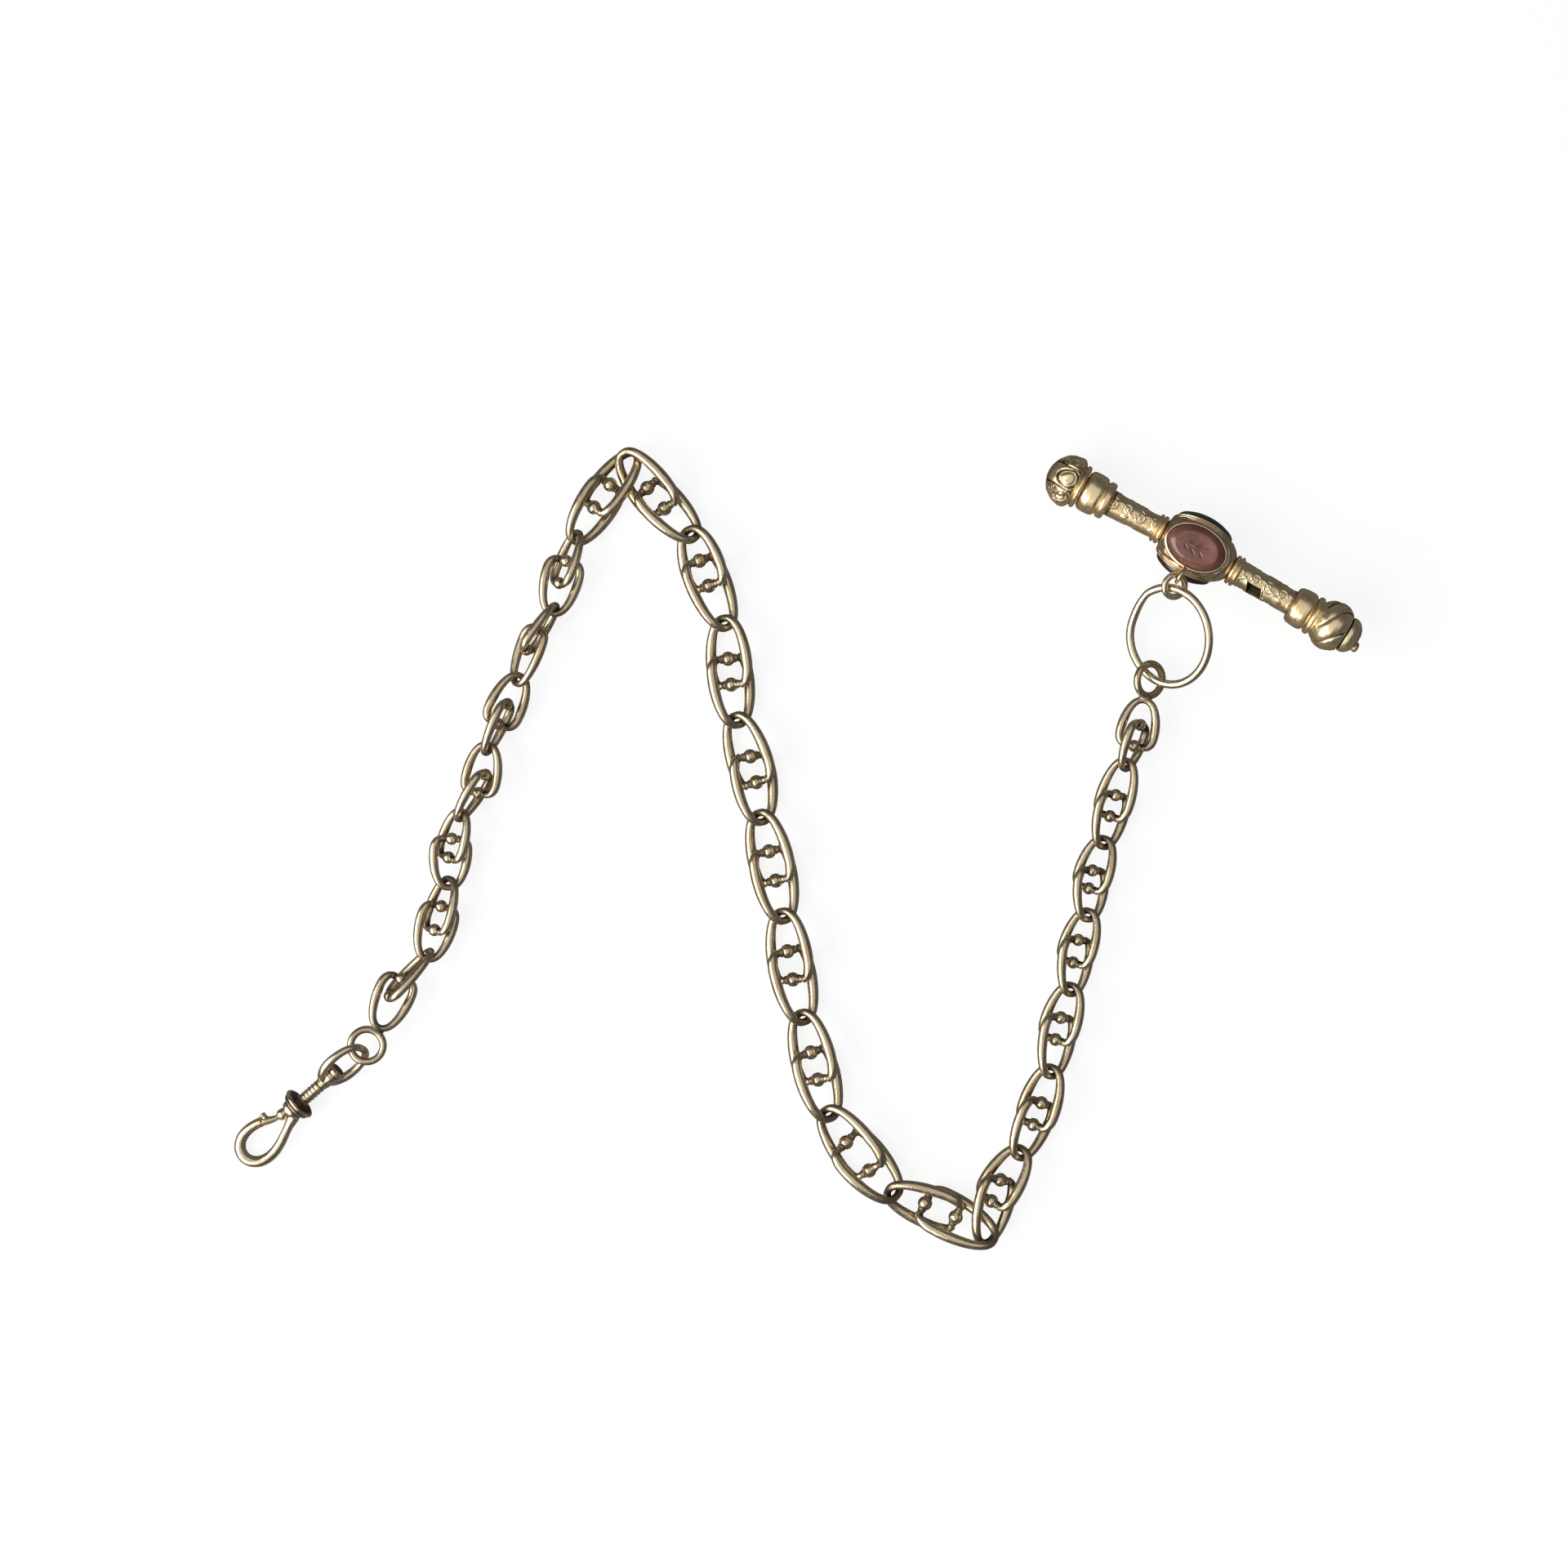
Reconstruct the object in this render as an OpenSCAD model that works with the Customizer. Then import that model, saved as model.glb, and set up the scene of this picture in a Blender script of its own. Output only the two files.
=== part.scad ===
// Watch chain with a swivel clip and a three-stone toggle bar, all lengths in millimetres.
// The chain lies on the floor at z = 0 as it was laid out, seen from straight above.

/* [Chain wire] */
// Leg radius of the large links
leg_large = 0.72; // [0.55:0.01:0.85]
// Leg radius of the small links
leg_small = 0.61; // [0.45:0.01:0.70]
// Wire radius at the apex, as a part of the leg radius
apex_part = 0.74; // [0.6:0.01:1]
// Cross bar radius, as a part of the leg radius
bar_part = 0.70; // [0.4:0.01:0.8]
// Ball radius, as a part of the leg radius
ball_part = 1.46; // [1.05:0.01:1.5]
// Clear space between two wires that hook into each other
link_gap = 0.34; // [0.1:0.01:0.5]
// Extra reach of two apexes where the chain turns sharply
bend_reach = 0.3; // [0:0.1:2]
// How far one apex climbs over the other where the chain turns sharply
bend_rise = 1.8; // [0:0.1:3]
// How far the knuckles reach in to the cross bar
knuckle_in = 1.1; // [0.8:0.05:1.4]
// Where the legs leave the knuckles, as a part of the link length
knuckle_long = 0.25; // [0.15:0.01:0.4]

/* [End rings and large ring] */
// Centre-line radius of the small ring soldered on each end link
end_ring = 2.35; // [1.8:0.05:2.6]
// Wire radius of the small end rings
end_ring_wire = 0.54; // [0.4:0.01:0.7]
// Half width and half height of the large ring, on the wire's centre
large_ring_half = [6.4, 7.1];
// Wire radius of the large ring
large_ring_wire = 0.6; // [0.4:0.01:0.7]
// Centre-line radius of the jump ring
jump_ring_radius = 1.62; // [1.4:0.01:2]
// Wire radius of the jump ring
jump_ring_wire = 0.46; // [0.3:0.01:0.6]

/* [Swivel clip] */
// Heading of the clip, degrees from +X
clip_heading = 221; // [200:1:240]
// How far the clip's nose points down to the floor, degrees
clip_dip = 8; // [0:0.5:15]
// Turn of the eye about the neck, degrees
eye_roll = -53.5; // [-60:0.5:60]
// Outer width of the eye
eye_width = 6.5; // [5:0.1:7]
// Wire radius of the eye
eye_wire = 0.57; // [0.4:0.01:0.7]
// Wire radius of the hook at its nose
hook_wire = 0.85; // [0.5:0.01:0.9]
// Radius of the swivel post
post_radius = 0.55; // [0.4:0.01:0.8]
// Radial running clearance of the post in the eye and of the gate on its pin
running = 0.05; // [0.02:0.01:0.1]
// Radius of the gate pin
pin_radius = 0.20; // [0.15:0.01:0.3]

/* [Toggle bar] */
// Heading of the left half, seen from the middle, degrees
left_heading = 151.6; // [145:0.1:160]
// Heading of the right half, degrees
right_heading = -30.0; // [-40:0.1:-20]
// Heading of the stone setting, degrees
seal_heading = -28.8; // [-40:0.1:-20]
// Pitch of the bar, left end down, degrees
bar_pitch = 2.2; // [0:0.1:4]
// Roll of the three-sided setting, degrees
seal_roll = 6; // [-30:1:30]
// Distance from the bar's axis to the middle of a side of the setting
seal_side = 2.55; // [2:0.05:3.5]
// Distance from the bar's axis to a rounded corner of the setting
seal_corner = 3.75; // [3.5:0.05:5]
// Half length and half width of a stone
stone_half = [4.35, 2.9];
// Thickness of a stone
stone_thick = 1.9; // [1:0.1:2.5]

/* [Hidden] */
$fn = 48;

// One row for a pair of links: where it hooks into the pair before it (x, y), the middle
// between its two cross bars (x, y), how far the bars lie apart, the width over the wires,
// and the roll of the first and of the second link in degrees.
pairs = [
    // x, y, middle x, middle y, bars, width, roll 1, roll 2
    [-61.1, -26.1, -58.4, -20.0, 3.1, 6.2, 18, -72],
    [-53.9, -15.1, -52.5, -9.8, 3.6, 6.3, 18, -43],
    [-51.0, -4.7, -50.6, 0.4, 2.8, 6.3, 18, -42],
    [-49.2, 5.2, -46.3, 9.9, 2.9, 6.2, 72, -18],
    [-45.3, 14.9, -43.0, 20.0, 3.2, 6.2, 76, 26],
    [-40.7, 25.0, -38.6, 30.8, 3.4, 6.2, -47, 78],
    [-35.6, 35.3, -34.2, 40.7, 3.4, 6.2, 12, -58],
    [-32.3, 45.9, -28.5, 51.8, 4.1, 7.2, 40, -36],
    [-24.6, 56.9, -20.6, 51.6, 3.9, 7.5, 33, -33],
    [-15.5, 46.3, -13.6, 40.6, 3.9, 7.6, 32, -32],
    [-10.6, 33.3, -9.9, 26.2, 3.8, 7.6, 31, -31],
    [-8.9, 19.1, -6.6, 11.9, 3.9, 7.6, 31, -31],
    [-5.4, 4.9, -3.7, -2.2, 4.4, 7.6, 31, -31],
    [-2.1, -9.5, -1.0, -16.7, 4.2, 7.6, 31, -31],
    [0.8, -24.3, 2.5, -31.4, 4.1, 7.6, 32, -32],
    [4.5, -38.4, 8.9, -44.5, 5.3, 8.4, 33, -33],
    [13.9, -49.9, 20.8, -52.6, 4.9, 7.8, 33, -33],
    [27.5, -56.0, 29.2, -49.7, 3.4, 7.0, 33, -33],
    [32.6, -44.2, 35.0, -38.4, 3.4, 6.8, 33, -33],
    [37.1, -32.3, 38.2, -26.0, 3.3, 6.6, 33, -33],
    [40.0, -20.3, 40.8, -14.7, 3.4, 6.3, 33, -33],
    [42.5, -9.4, 43.0, -4.2, 2.7, 6.3, 33, -33],
    [44.8, 1.2, 46.1, 6.6, 3.2, 6.3, 33, -33],
    [47.9, 12.6, 49.5, 16.9, 3.2, 6.2, 56, -6]
];
count = len(pairs);
chain_end = [50.8, 22.4];
first_height = 3.7;
last_height = 2.7;
first_ring_twist = 15;
first_ring_side = -0.6;
last_ring_twist = 40;

function mix(a, b, t) = a + (b - a) * t;
function clamp(v, low, high) = min(max(v, low), high);
function unit(v) = v / norm(v);

// Sizes of the wire in pair i.
function leg_r(i) = mix(leg_small, leg_large, clamp((pairs[i][5] - 6.2) / 1.1, 0, 1));
function apex_r(i) = apex_part * leg_r(i);
function bar_r(i) = bar_part * leg_r(i);
function ball_r(i) = ball_part * leg_r(i);
function width_c(i) = pairs[i][5] - 2 * leg_r(i);

// Height the axis of pair i needs for its lower legs to rest on the floor.
function need_one(i, roll) = width_c(i) / 2 * abs(sin(roll)) + leg_r(i);
function need(i) = max(need_one(i, pairs[i][6]), need_one(i, pairs[i][7]), ball_r(i));
function height(k) =
    k == 0 ? first_height :
    k == count ? last_height :
    max(need(k - 1), need(k));
function contact(k) =
    k == count ? [chain_end[0], chain_end[1], height(k)] :
    [pairs[k][0], pairs[k][1], height(k)];

function middle(i) = [pairs[i][2], pairs[i][3], (height(i) + height(i + 1)) / 2];

// Half of the turn at contact k in plan, and which of the two apexes there climbs:
// the one that starts a pair in a right turn, the one that ends a pair in a left turn.
function plan(v) = unit([v[0], v[1]]);
function plan_in(k) = plan(contact(k) - middle(k - 1));
function plan_out(k) = plan(middle(k) - contact(k));
function half_turn(k) =
    k == 0 || k == count ? 0 : acos(clamp(plan_in(k) * plan_out(k), -1, 1)) / 2;
function turns_left(k) =
    k == 0 || k == count ? 0 : plan_in(k)[0] * plan_out(k)[1] - plan_in(k)[1] * plan_out(k)[0];
function rise(k) = bend_rise * pow(sin(half_turn(k)), 2);
function pair_start(k) = contact(k) + [0, 0, turns_left(k) < 0 ? rise(k) : 0];
function pair_end(k) = contact(k) + [0, 0, turns_left(k) > 0 ? rise(k) : 0];

// Heading of the first and of the second link of pair i, and the reach of their apexes.
function heading_a(i) = unit(middle(i) - pair_start(i));
function heading_b(i) = unit(pair_end(i + 1) - middle(i));
function past(k, i) =
    k == 0 || k == count ? -0.45 :
    (apex_r(i) + link_gap / 2) / max(cos(half_turn(k)), 0.6)
    + bend_reach * pow(sin(half_turn(k)), 2);
function long_a(i) = norm(middle(i) - pair_start(i)) + pairs[i][4] / 2 + past(i, i);
function long_b(i) = norm(pair_end(i + 1) - middle(i)) + pairs[i][4] / 2 + past(i + 1, i);

// Half of a link's centre line with its wire radius: rows of [x, y, radius], from the ball
// in the middle of the cross bar, out to a knuckle and up one leg to the apex.
function half_link(i, long) =
    let (half = width_c(i) / 2, bar_end = half - knuckle_in, foot = knuckle_long * long)
    concat(
        [for (a = [0, 34, 62]) [0, ball_r(i) * sin(a), max(ball_r(i) * cos(a), bar_r(i))]],
        [for (a = [90, 58, 28, 0])
            [foot * (1 - sin(a)), bar_end + knuckle_in * cos(a), mix(leg_r(i), bar_r(i), a / 90)]],
        [for (a = [26, 46, 62, 76, 90])
            [foot + (long - foot) * sin(a), half * pow(max(cos(a), 0), 0.85),
             mix(leg_r(i), apex_r(i), pow(a / 90, 2))]]
    );
function full_link(rows) =
    concat(rows, [for (k = [len(rows) - 2:-1:1]) [rows[k][0], -rows[k][1], rows[k][2]]]);

// Direction of a flat path at point k.
function path_at(rows, k) = let (r = rows[(k + len(rows)) % len(rows)]) [r[0], r[1]];
function bend(rows, k, closed) =
    let (before = closed || k > 0 ? path_at(rows, k) - path_at(rows, k - 1) : [0, 0],
         after = closed || k < len(rows) - 1 ? path_at(rows, k + 1) - path_at(rows, k) : [0, 0])
    unit((norm(before) > 0 ? unit(before) : [0, 0]) + (norm(after) > 0 ? unit(after) : [0, 0]));

// Points of round sections along a flat path, and the triangles between the sections.
function wire_points(rows, sides, closed) = [
    for (k = [0:len(rows) - 1])
        let (t = bend(rows, k, closed), n = [-t[1], t[0]])
        for (j = [0:sides - 1])
            let (a = 360 * (j + 0.5) / sides)
            [rows[k][0] + rows[k][2] * cos(a) * n[0],
             rows[k][1] + rows[k][2] * cos(a) * n[1],
             rows[k][2] * sin(a)]
];
function band_faces(rings, sides, closed) = [
    for (k = [0:closed ? rings - 1 : rings - 2])
        for (j = [0:sides - 1])
            let (p = k * sides + j, q = k * sides + (j + 1) % sides,
                 r = ((k + 1) % rings) * sides + (j + 1) % sides,
                 s = ((k + 1) % rings) * sides + j)
            for (f = [[p, r, q], [p, s, r]]) f
];
function cap_faces(rings, sides) = [
    [for (j = [0:sides - 1]) j],
    [for (j = [sides - 1:-1:0]) (rings - 1) * sides + j]
];

module wire(rows, sides, closed = true) {
    faces = closed ? band_faces(len(rows), sides, true) :
        concat(band_faces(len(rows), sides, false), cap_faces(len(rows), sides));
    polyhedron(points = wire_points(rows, sides, closed), faces = faces, convexity = 6);
}

// A solid through closed sections: every section is a list of points, all of one length.
module loft(sections) {
    rings = len(sections);
    sides = len(sections[0]);
    points = [for (s = sections) for (p = s) p];
    faces = concat(band_faces(rings, sides, false), cap_faces(rings, sides));
    polyhedron(points = points, faces = faces, convexity = 4);
}

// Puts a piece at a point, with its own X along a heading and turned about it.
module along(origin, dir, roll = 0) {
    translate(origin)
        rotate([0, 0, atan2(dir[1], dir[0])])
            rotate([0, -asin(clamp(dir[2], -1, 1)), 0])
                rotate([roll, 0, 0])
                    children();
}

function ring_rows(half, r, rings) = [
    for (k = [0:rings - 1]) [half[0] * cos(360 * k / rings), half[1] * sin(360 * k / rings), r]
];

module end_ring_on(long, apex, twist, side = 0) {
    translate([long + end_ring + end_ring_wire + apex - 0.24, side, 0])
        rotate([twist, 0, 0])
            wire(ring_rows([end_ring, end_ring], end_ring_wire, 20), 8);
}

// The first link of a pair has its apex back at the pair before, the second one forward.
module pair(i) {
    a = heading_a(i);
    b = heading_b(i);
    along(middle(i) + a * pairs[i][4] / 2, a, pairs[i][6])
        rotate([0, 0, 180])
            union() {
                wire(full_link(half_link(i, long_a(i))), 6);
                if (i == 0) end_ring_on(long_a(i), apex_r(i), first_ring_twist, first_ring_side);
            }
    along(middle(i) - b * pairs[i][4] / 2, b, pairs[i][7])
        union() {
            wire(full_link(half_link(i, long_b(i))), 6);
            if (i == count - 1) end_ring_on(long_b(i), apex_r(i), last_ring_twist);
        }
}

// Swivel clip. Its own X runs along the neck from the eye to the nose.
flange_at = 4.56;
flange_r = 2.5;
hinge_at = [7.5, -0.45, 0];
clip_origin = [-69.4, -33.95, flange_r + flange_at * sin(clip_dip)];

module clip_frame() {
    translate(clip_origin)
        rotate([0, 0, clip_heading])
            rotate([0, clip_dip, 0])
                children();
}

// Turned shape about the neck: rows of [x, radius].
module turned(rows) {
    rotate([0, 90, 0])
        rotate([0, 0, 90])
            rotate_extrude()
                polygon(concat([[0, rows[0][0]]], [for (r = rows) [r[1], r[0]]],
                               [[0, rows[len(rows) - 1][0]]]));
}

// Eye: half an oval that leaves the collar on both sides and closes at the far end.
function eye_rows() = [
    for (a = [-168:14:168])
        [-4.42 - 3.62 * cos(a), (eye_width / 2 - eye_wire) * sign(a) * pow(abs(sin(a)), 0.85),
         mix(eye_wire * 0.9, eye_wire * 1.1, abs(a) / 168)]
];

module swivel_eye() {
    color([0.72, 0.60, 0.40])
        clip_frame()
            rotate([eye_roll, 0, 0])
                difference() {
                    union() {
                        wire(eye_rows(), 8, false);
                        turned([[-2.35, 1.25], [-1.7, 1.32], [-1.2, 1.15], [-0.75, 0.95],
                                [-0.6, 1.06], [-0.35, 1.06], [-0.22, 0.92], [0, 0.98],
                                [0.2, 0.9]]);
                    }
                    translate([-4, 0, 0])
                        rotate([0, 90, 0])
                            cylinder(r = post_radius + running, h = 6);
                }
}

// Hook: the right arm leaves the barrel, goes round the nose and comes back to the gate.
pear_start = 7.3;
pear_long = 8.9;
pear_half = 3.1;
function pear_x(a) = pear_start + pear_long * (1 - cos(a)) / 2;
function pear_lift(a) = pow(cos(a / 2), 20);
function pear_r(a) = hook_wire * (0.74 + 0.26 * pow(sin(a / 2), 2));
function pear_y(a, side) =
    0.46
    + side * pear_half * sin(a) * pow(sin(a / 2), 0.75)
    + (side > 0 ? 0.9 : -0.4) * pear_lift(a);
gate_end = 71.5;
hook_end = 75;

function hook_rows() = concat(
    [[6.1, 0.85, 0.8], [6.9, 1.08, 0.84], [7.45, 1.22, 0.78]],
    [for (a = [40:14:180]) [pear_x(a), pear_y(a, 1), pear_r(a)]],
    [for (a = [166:-13:hook_end + 5]) [pear_x(a), pear_y(a, -1), pear_r(a)]],
    [[pear_x(hook_end), pear_y(hook_end, -1), pear_r(hook_end) * 0.8]]
);

// One side of the hinge ball: a cap cut off flat beside the gate's tongue.
module cheek() {
    rotate_extrude()
        polygon([[0, 0.3], [0.72, 0.3], [0.66, 0.42], [0.54, 0.57], [0.36, 0.69],
                 [0.16, 0.77], [0, 0.77]]);
}

module clip_body() {
    color([0.74, 0.62, 0.42])
        clip_frame()
            union() {
                turned([[-3.35, 1.1], [-3.1, 1.5], [-2.6, 1.5], [-2.45, 1.2]]);
                turned([[-2.6, post_radius], [0.4, post_radius]]);
                turned([[0.3, 0.86], [0.62, 0.92], [0.78, 0.74], [0.98, 0.74],
                        [1.12, 0.92], [1.28, 0.92], [1.42, 0.74], [1.62, 0.74],
                        [1.76, 0.92], [1.92, 0.92], [2.06, 0.74], [2.26, 0.74],
                        [2.4, 0.92], [2.56, 0.92], [2.7, 0.74], [2.9, 0.74],
                        [3.04, 0.92], [3.2, 0.92], [3.34, 0.78], [3.6, 0.95],
                        [4.0, 1.35], [4.26, 1.5], [4.28, 2.35], [4.43, 2.5],
                        [4.68, 2.5], [4.83, 2.3], [4.84, 1.5], [4.98, 1.5],
                        [5.0, 2.1], [5.18, 2.25], [5.36, 2.1], [5.4, 1.5],
                        [5.8, 1.6], [6.3, 1.55], [6.6, 1.25], [6.66, 0.9],
                        [6.68, 0.75], [6.93, 0.72]]);
                for (side = [0, 180])
                    translate(hinge_at)
                        rotate([side, 0, 0])
                            cheek();
                translate([hinge_at[0], hinge_at[1], -0.5])
                    cylinder(r = pin_radius, h = 1);
                wire(hook_rows(), 8, false);
            }
}

// Gate: a bored tongue in the slotted ball, a lever that thickens to the tip, a thumb nib.
gate_tip = [pear_x(gate_end), pear_y(gate_end, -1)];
gate_bow = [8.9, -0.5];
function gate_at(t) =
    [hinge_at[0], hinge_at[1]] * pow(1 - t, 2) + gate_bow * 2 * t * (1 - t) + gate_tip * t * t;
function gate_rows() = [
    for (t = [0.13, 0.22, 0.3, 0.4, 0.52, 0.66, 0.8, 0.92, 1])
        [gate_at(t)[0], gate_at(t)[1],
         t < 0.25 ? 0.2 : t < 0.95 ? mix(0.36, 0.66, (t - 0.25) / 0.7) : 0.55]
];

module clip_gate() {
    color([0.78, 0.66, 0.44])
        clip_frame()
            difference() {
                union() {
                    translate([hinge_at[0], hinge_at[1], -0.25])
                        cylinder(r = 0.46, h = 0.5);
                    wire(gate_rows(), 8, false);
                    translate([gate_tip[0] - 0.55, gate_tip[1] - 0.1, 0])
                        rotate([90, 0, 0])
                            cylinder(r1 = 0.42, r2 = 0.3, h = 0.8);
                }
                translate([hinge_at[0], hinge_at[1], -1])
                    cylinder(r = pin_radius + running, h = 2);
            }
}

// Large ring and jump ring between the chain and the bar.
large_ring_at = [53.9, 31.25, 5.03];
large_ring_turn = [10.3, -35, 0];
jump_ring_at = [54.47, 38.4, 6.95];
jump_ring_turn = [15, 19.9, 0];

module split_ring() {
    color([0.76, 0.66, 0.46])
        translate(large_ring_at)
            rotate(large_ring_turn)
                wire(ring_rows(large_ring_half, large_ring_wire, 44), 10);
}

module jump_ring() {
    color([0.74, 0.64, 0.44])
        translate(jump_ring_at)
            rotate(jump_ring_turn)
                rotate_extrude()
                    translate([jump_ring_radius, 0])
                        circle(r = jump_ring_wire);
}

// Toggle bar. Each half has its own heading; both are pitched with the left end down.
bar_at = [58.06, 43.89, 4.75];
// The tip knob sits off the axis of the right end.
knob_shift = -1.0;
seal_shift = -0.4;

module half_bar(heading_deg, pitch_deg) {
    translate(bar_at)
        rotate([0, 0, heading_deg])
            rotate([0, pitch_deg, 0])
                children();
}

// Left half: rows of [distance from the middle, radius].
module tube_left() {
    color([0.83, 0.70, 0.38])
        half_bar(left_heading, bar_pitch)
            turned([[5.62, 1.9], [5.7, 2.1], [5.95, 2.18], [6.2, 2.1], [6.32, 1.86],
                    [6.44, 2.1], [6.62, 2.2], [6.8, 2.08], [6.95, 1.74], [10.5, 1.82],
                    [14.4, 1.94], [14.46, 2.55], [14.65, 2.78], [15.2, 2.84], [15.5, 2.74],
                    [15.6, 2.6], [15.8, 2.6], [15.95, 2.88], [16.4, 3.04], [17.4, 3.1],
                    [18.2, 3.02], [18.5, 2.85], [18.62, 2.7], [18.75, 2.65]]);
}

module finial_left() {
    color([0.83, 0.70, 0.38])
        half_bar(left_heading, bar_pitch)
            turned([[18.8, 2.65], [18.9, 3.1], [19.1, 3.3], [19.45, 3.3], [19.6, 3.1],
                    [19.7, 3.15], [19.85, 3.42], [20.2, 3.72], [20.7, 3.88], [21.3, 3.85],
                    [22.0, 3.66], [22.7, 3.3], [23.3, 2.8], [23.8, 2.15], [24.15, 1.45],
                    [24.35, 0.8], [24.42, 0.05]]);
}

module tube_right() {
    color([0.83, 0.70, 0.38])
        half_bar(right_heading, -bar_pitch)
            turned([[5.64, 1.95], [5.72, 2.2], [5.97, 2.28], [6.2, 2.2], [6.32, 1.92],
                    [6.44, 2.24], [6.62, 2.34], [6.8, 2.22], [7.0, 1.92], [11.5, 1.88],
                    [15.7, 1.84], [15.8, 2.45], [16.2, 2.75], [17.0, 2.88], [17.8, 2.92],
                    [18.3, 2.86], [18.6, 2.7], [18.72, 2.6], [18.85, 2.55]]);
}

module finial_right() {
    color([0.83, 0.70, 0.38])
        half_bar(right_heading, -bar_pitch)
            union() {
                turned([[18.9, 2.55], [19.0, 2.8], [19.25, 2.95], [19.6, 2.95], [19.8, 2.75],
                        [19.95, 2.6], [20.15, 2.75], [20.5, 3.05], [21.1, 3.44], [21.8, 3.66],
                        [22.5, 3.72], [23.3, 3.58], [24.0, 3.22], [24.45, 2.85], [24.6, 2.6],
                        [24.8, 2.72], [25.3, 2.66], [25.8, 2.4], [26.2, 2.05], [26.5, 1.6],
                        [26.7, 1.0], [26.75, 0.05]]);
                translate([0, knob_shift, 0])
                    turned([[25.6, 0.75], [26.6, 0.75], [26.75, 0.8], [27.05, 0.75],
                            [27.25, 0.5], [27.32, 0.05]]);
            }
}

// Setting: round at its ends, a rounded three-sided body in the middle.
module seal_frame() {
    translate(bar_at)
        rotate([0, 0, seal_heading])
            rotate([0, -bar_pitch, 0])
                rotate([seal_roll, 0, 0])
                    children();
}

// Radius of the rounded triangle at angle a, with a side facing straight up at a = 90.
function three(a) =
    let (b = cos(3 * (a - 90)))
    mix(seal_corner, seal_side, pow((1 + b) / 2, 0.75));
function seal_section(x, r, f) = [
    for (j = [0:35])
        let (a = 10 * j, q = mix(r, three(a), f))
        [x, q * cos(a), q * sin(a)]
];

function oval(half, z, grow) = [
    for (j = [0:27])
        let (a = 360 * j / 28)
        [(half[0] + grow) * cos(a), (half[1] + grow) * sin(a), z]
];

bezel_base = 0.6;
bezel_top = seal_side + 0.7;
bezel_drop = [0, 0.2, 0.2];
stone_low = seal_side + 0.05;

module on_side(k) {
    translate([seal_shift, 0, 0])
        rotate([120 * k, 0, 0])
        children();
}

module seal_setting() {
    color([0.82, 0.69, 0.40])
        union() {
            difference() {
                seal_frame()
                    union() {
                        loft([seal_section(-5.5, 1.9, 0), seal_section(-5.0, 2.5, 0.05),
                              seal_section(-4.2, 2.9, 0.55), seal_section(-2.5, 3, 0.95),
                              seal_section(0, 3, 1), seal_section(2.5, 3, 0.95),
                              seal_section(4.2, 2.9, 0.55), seal_section(5.0, 2.5, 0.05),
                              seal_section(5.5, 1.9, 0)]);
                        for (k = [0:2])
                            on_side(k)
                                loft([oval(stone_half, bezel_base, 0.25),
                                      oval(stone_half, bezel_top - bezel_drop[k] - 0.45, 0.55),
                                      oval(stone_half, bezel_top - bezel_drop[k] - 0.25, 0.55),
                                      oval(stone_half, bezel_top - bezel_drop[k], 0.3)]);
                    }
                seal_frame()
                    for (k = [0:2])
                        on_side(k)
                            loft([oval(stone_half, stone_low - 0.05, 0.05),
                                  oval(stone_half, bezel_top + 1, 0.05)]);
            }
            seal_frame()
                translate([-0.46, -4.49, 2.9])
                    rotate([0, 90, 0])
                        rotate_extrude()
                            translate([1.15, 0])
                                circle(r = 0.28);
        }
}

// Cut stone: a flat base, a girdle, a bevelled rim and a flat table.
module stone(k) {
    seal_frame()
        on_side(k)
            loft([oval(stone_half, stone_low, -0.1), oval(stone_half, stone_low + 0.3, 0),
                  oval(stone_half, stone_low + stone_thick - 0.55, 0),
                  oval(stone_half, stone_low + stone_thick, -0.55)]);
}

module stone_carnelian() {
    color([0.50, 0.22, 0.16])
        stone(0);
}

module stone_bloodstone() {
    color([0.12, 0.20, 0.16])
        stone(2);
}

module stone_onyx() {
    color([0.08, 0.08, 0.08])
        stone(1);
}

module linked(i) {
    color([0.70, 0.60, 0.42])
        pair(i);
}

linked(0);  // pair_00
linked(1);  // pair_01
linked(2);  // pair_02
linked(3);  // pair_03
linked(4);  // pair_04
linked(5);  // pair_05
linked(6);  // pair_06
linked(7);  // pair_07
linked(8);  // pair_08
linked(9);  // pair_09
linked(10);  // pair_10
linked(11);  // pair_11
linked(12);  // pair_12
linked(13);  // pair_13
linked(14);  // pair_14
linked(15);  // pair_15
linked(16);  // pair_16
linked(17);  // pair_17
linked(18);  // pair_18
linked(19);  // pair_19
linked(20);  // pair_20
linked(21);  // pair_21
linked(22);  // pair_22
linked(23);  // pair_23
swivel_eye();
clip_body();
clip_gate();
split_ring();
jump_ring();
finial_left();
tube_left();
seal_setting();
stone_carnelian();
stone_bloodstone();
stone_onyx();
tube_right();
finial_right();
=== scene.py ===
# %% [markdown]
# # A gold watch chain, laid out flat
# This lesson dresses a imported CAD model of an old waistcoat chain: 24 pairs of stirrup links,
# a swivel clip at one end and a toggle bar with three oval stones at the other. The CAD solids
# are coarse on purpose, so most of them are replaced here by finer surfaces worked out from the
# same lengths. Everything is in the CAD's own frame, worked out in millimetres and written into
# Blender in metres at the very end of each step.

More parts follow.
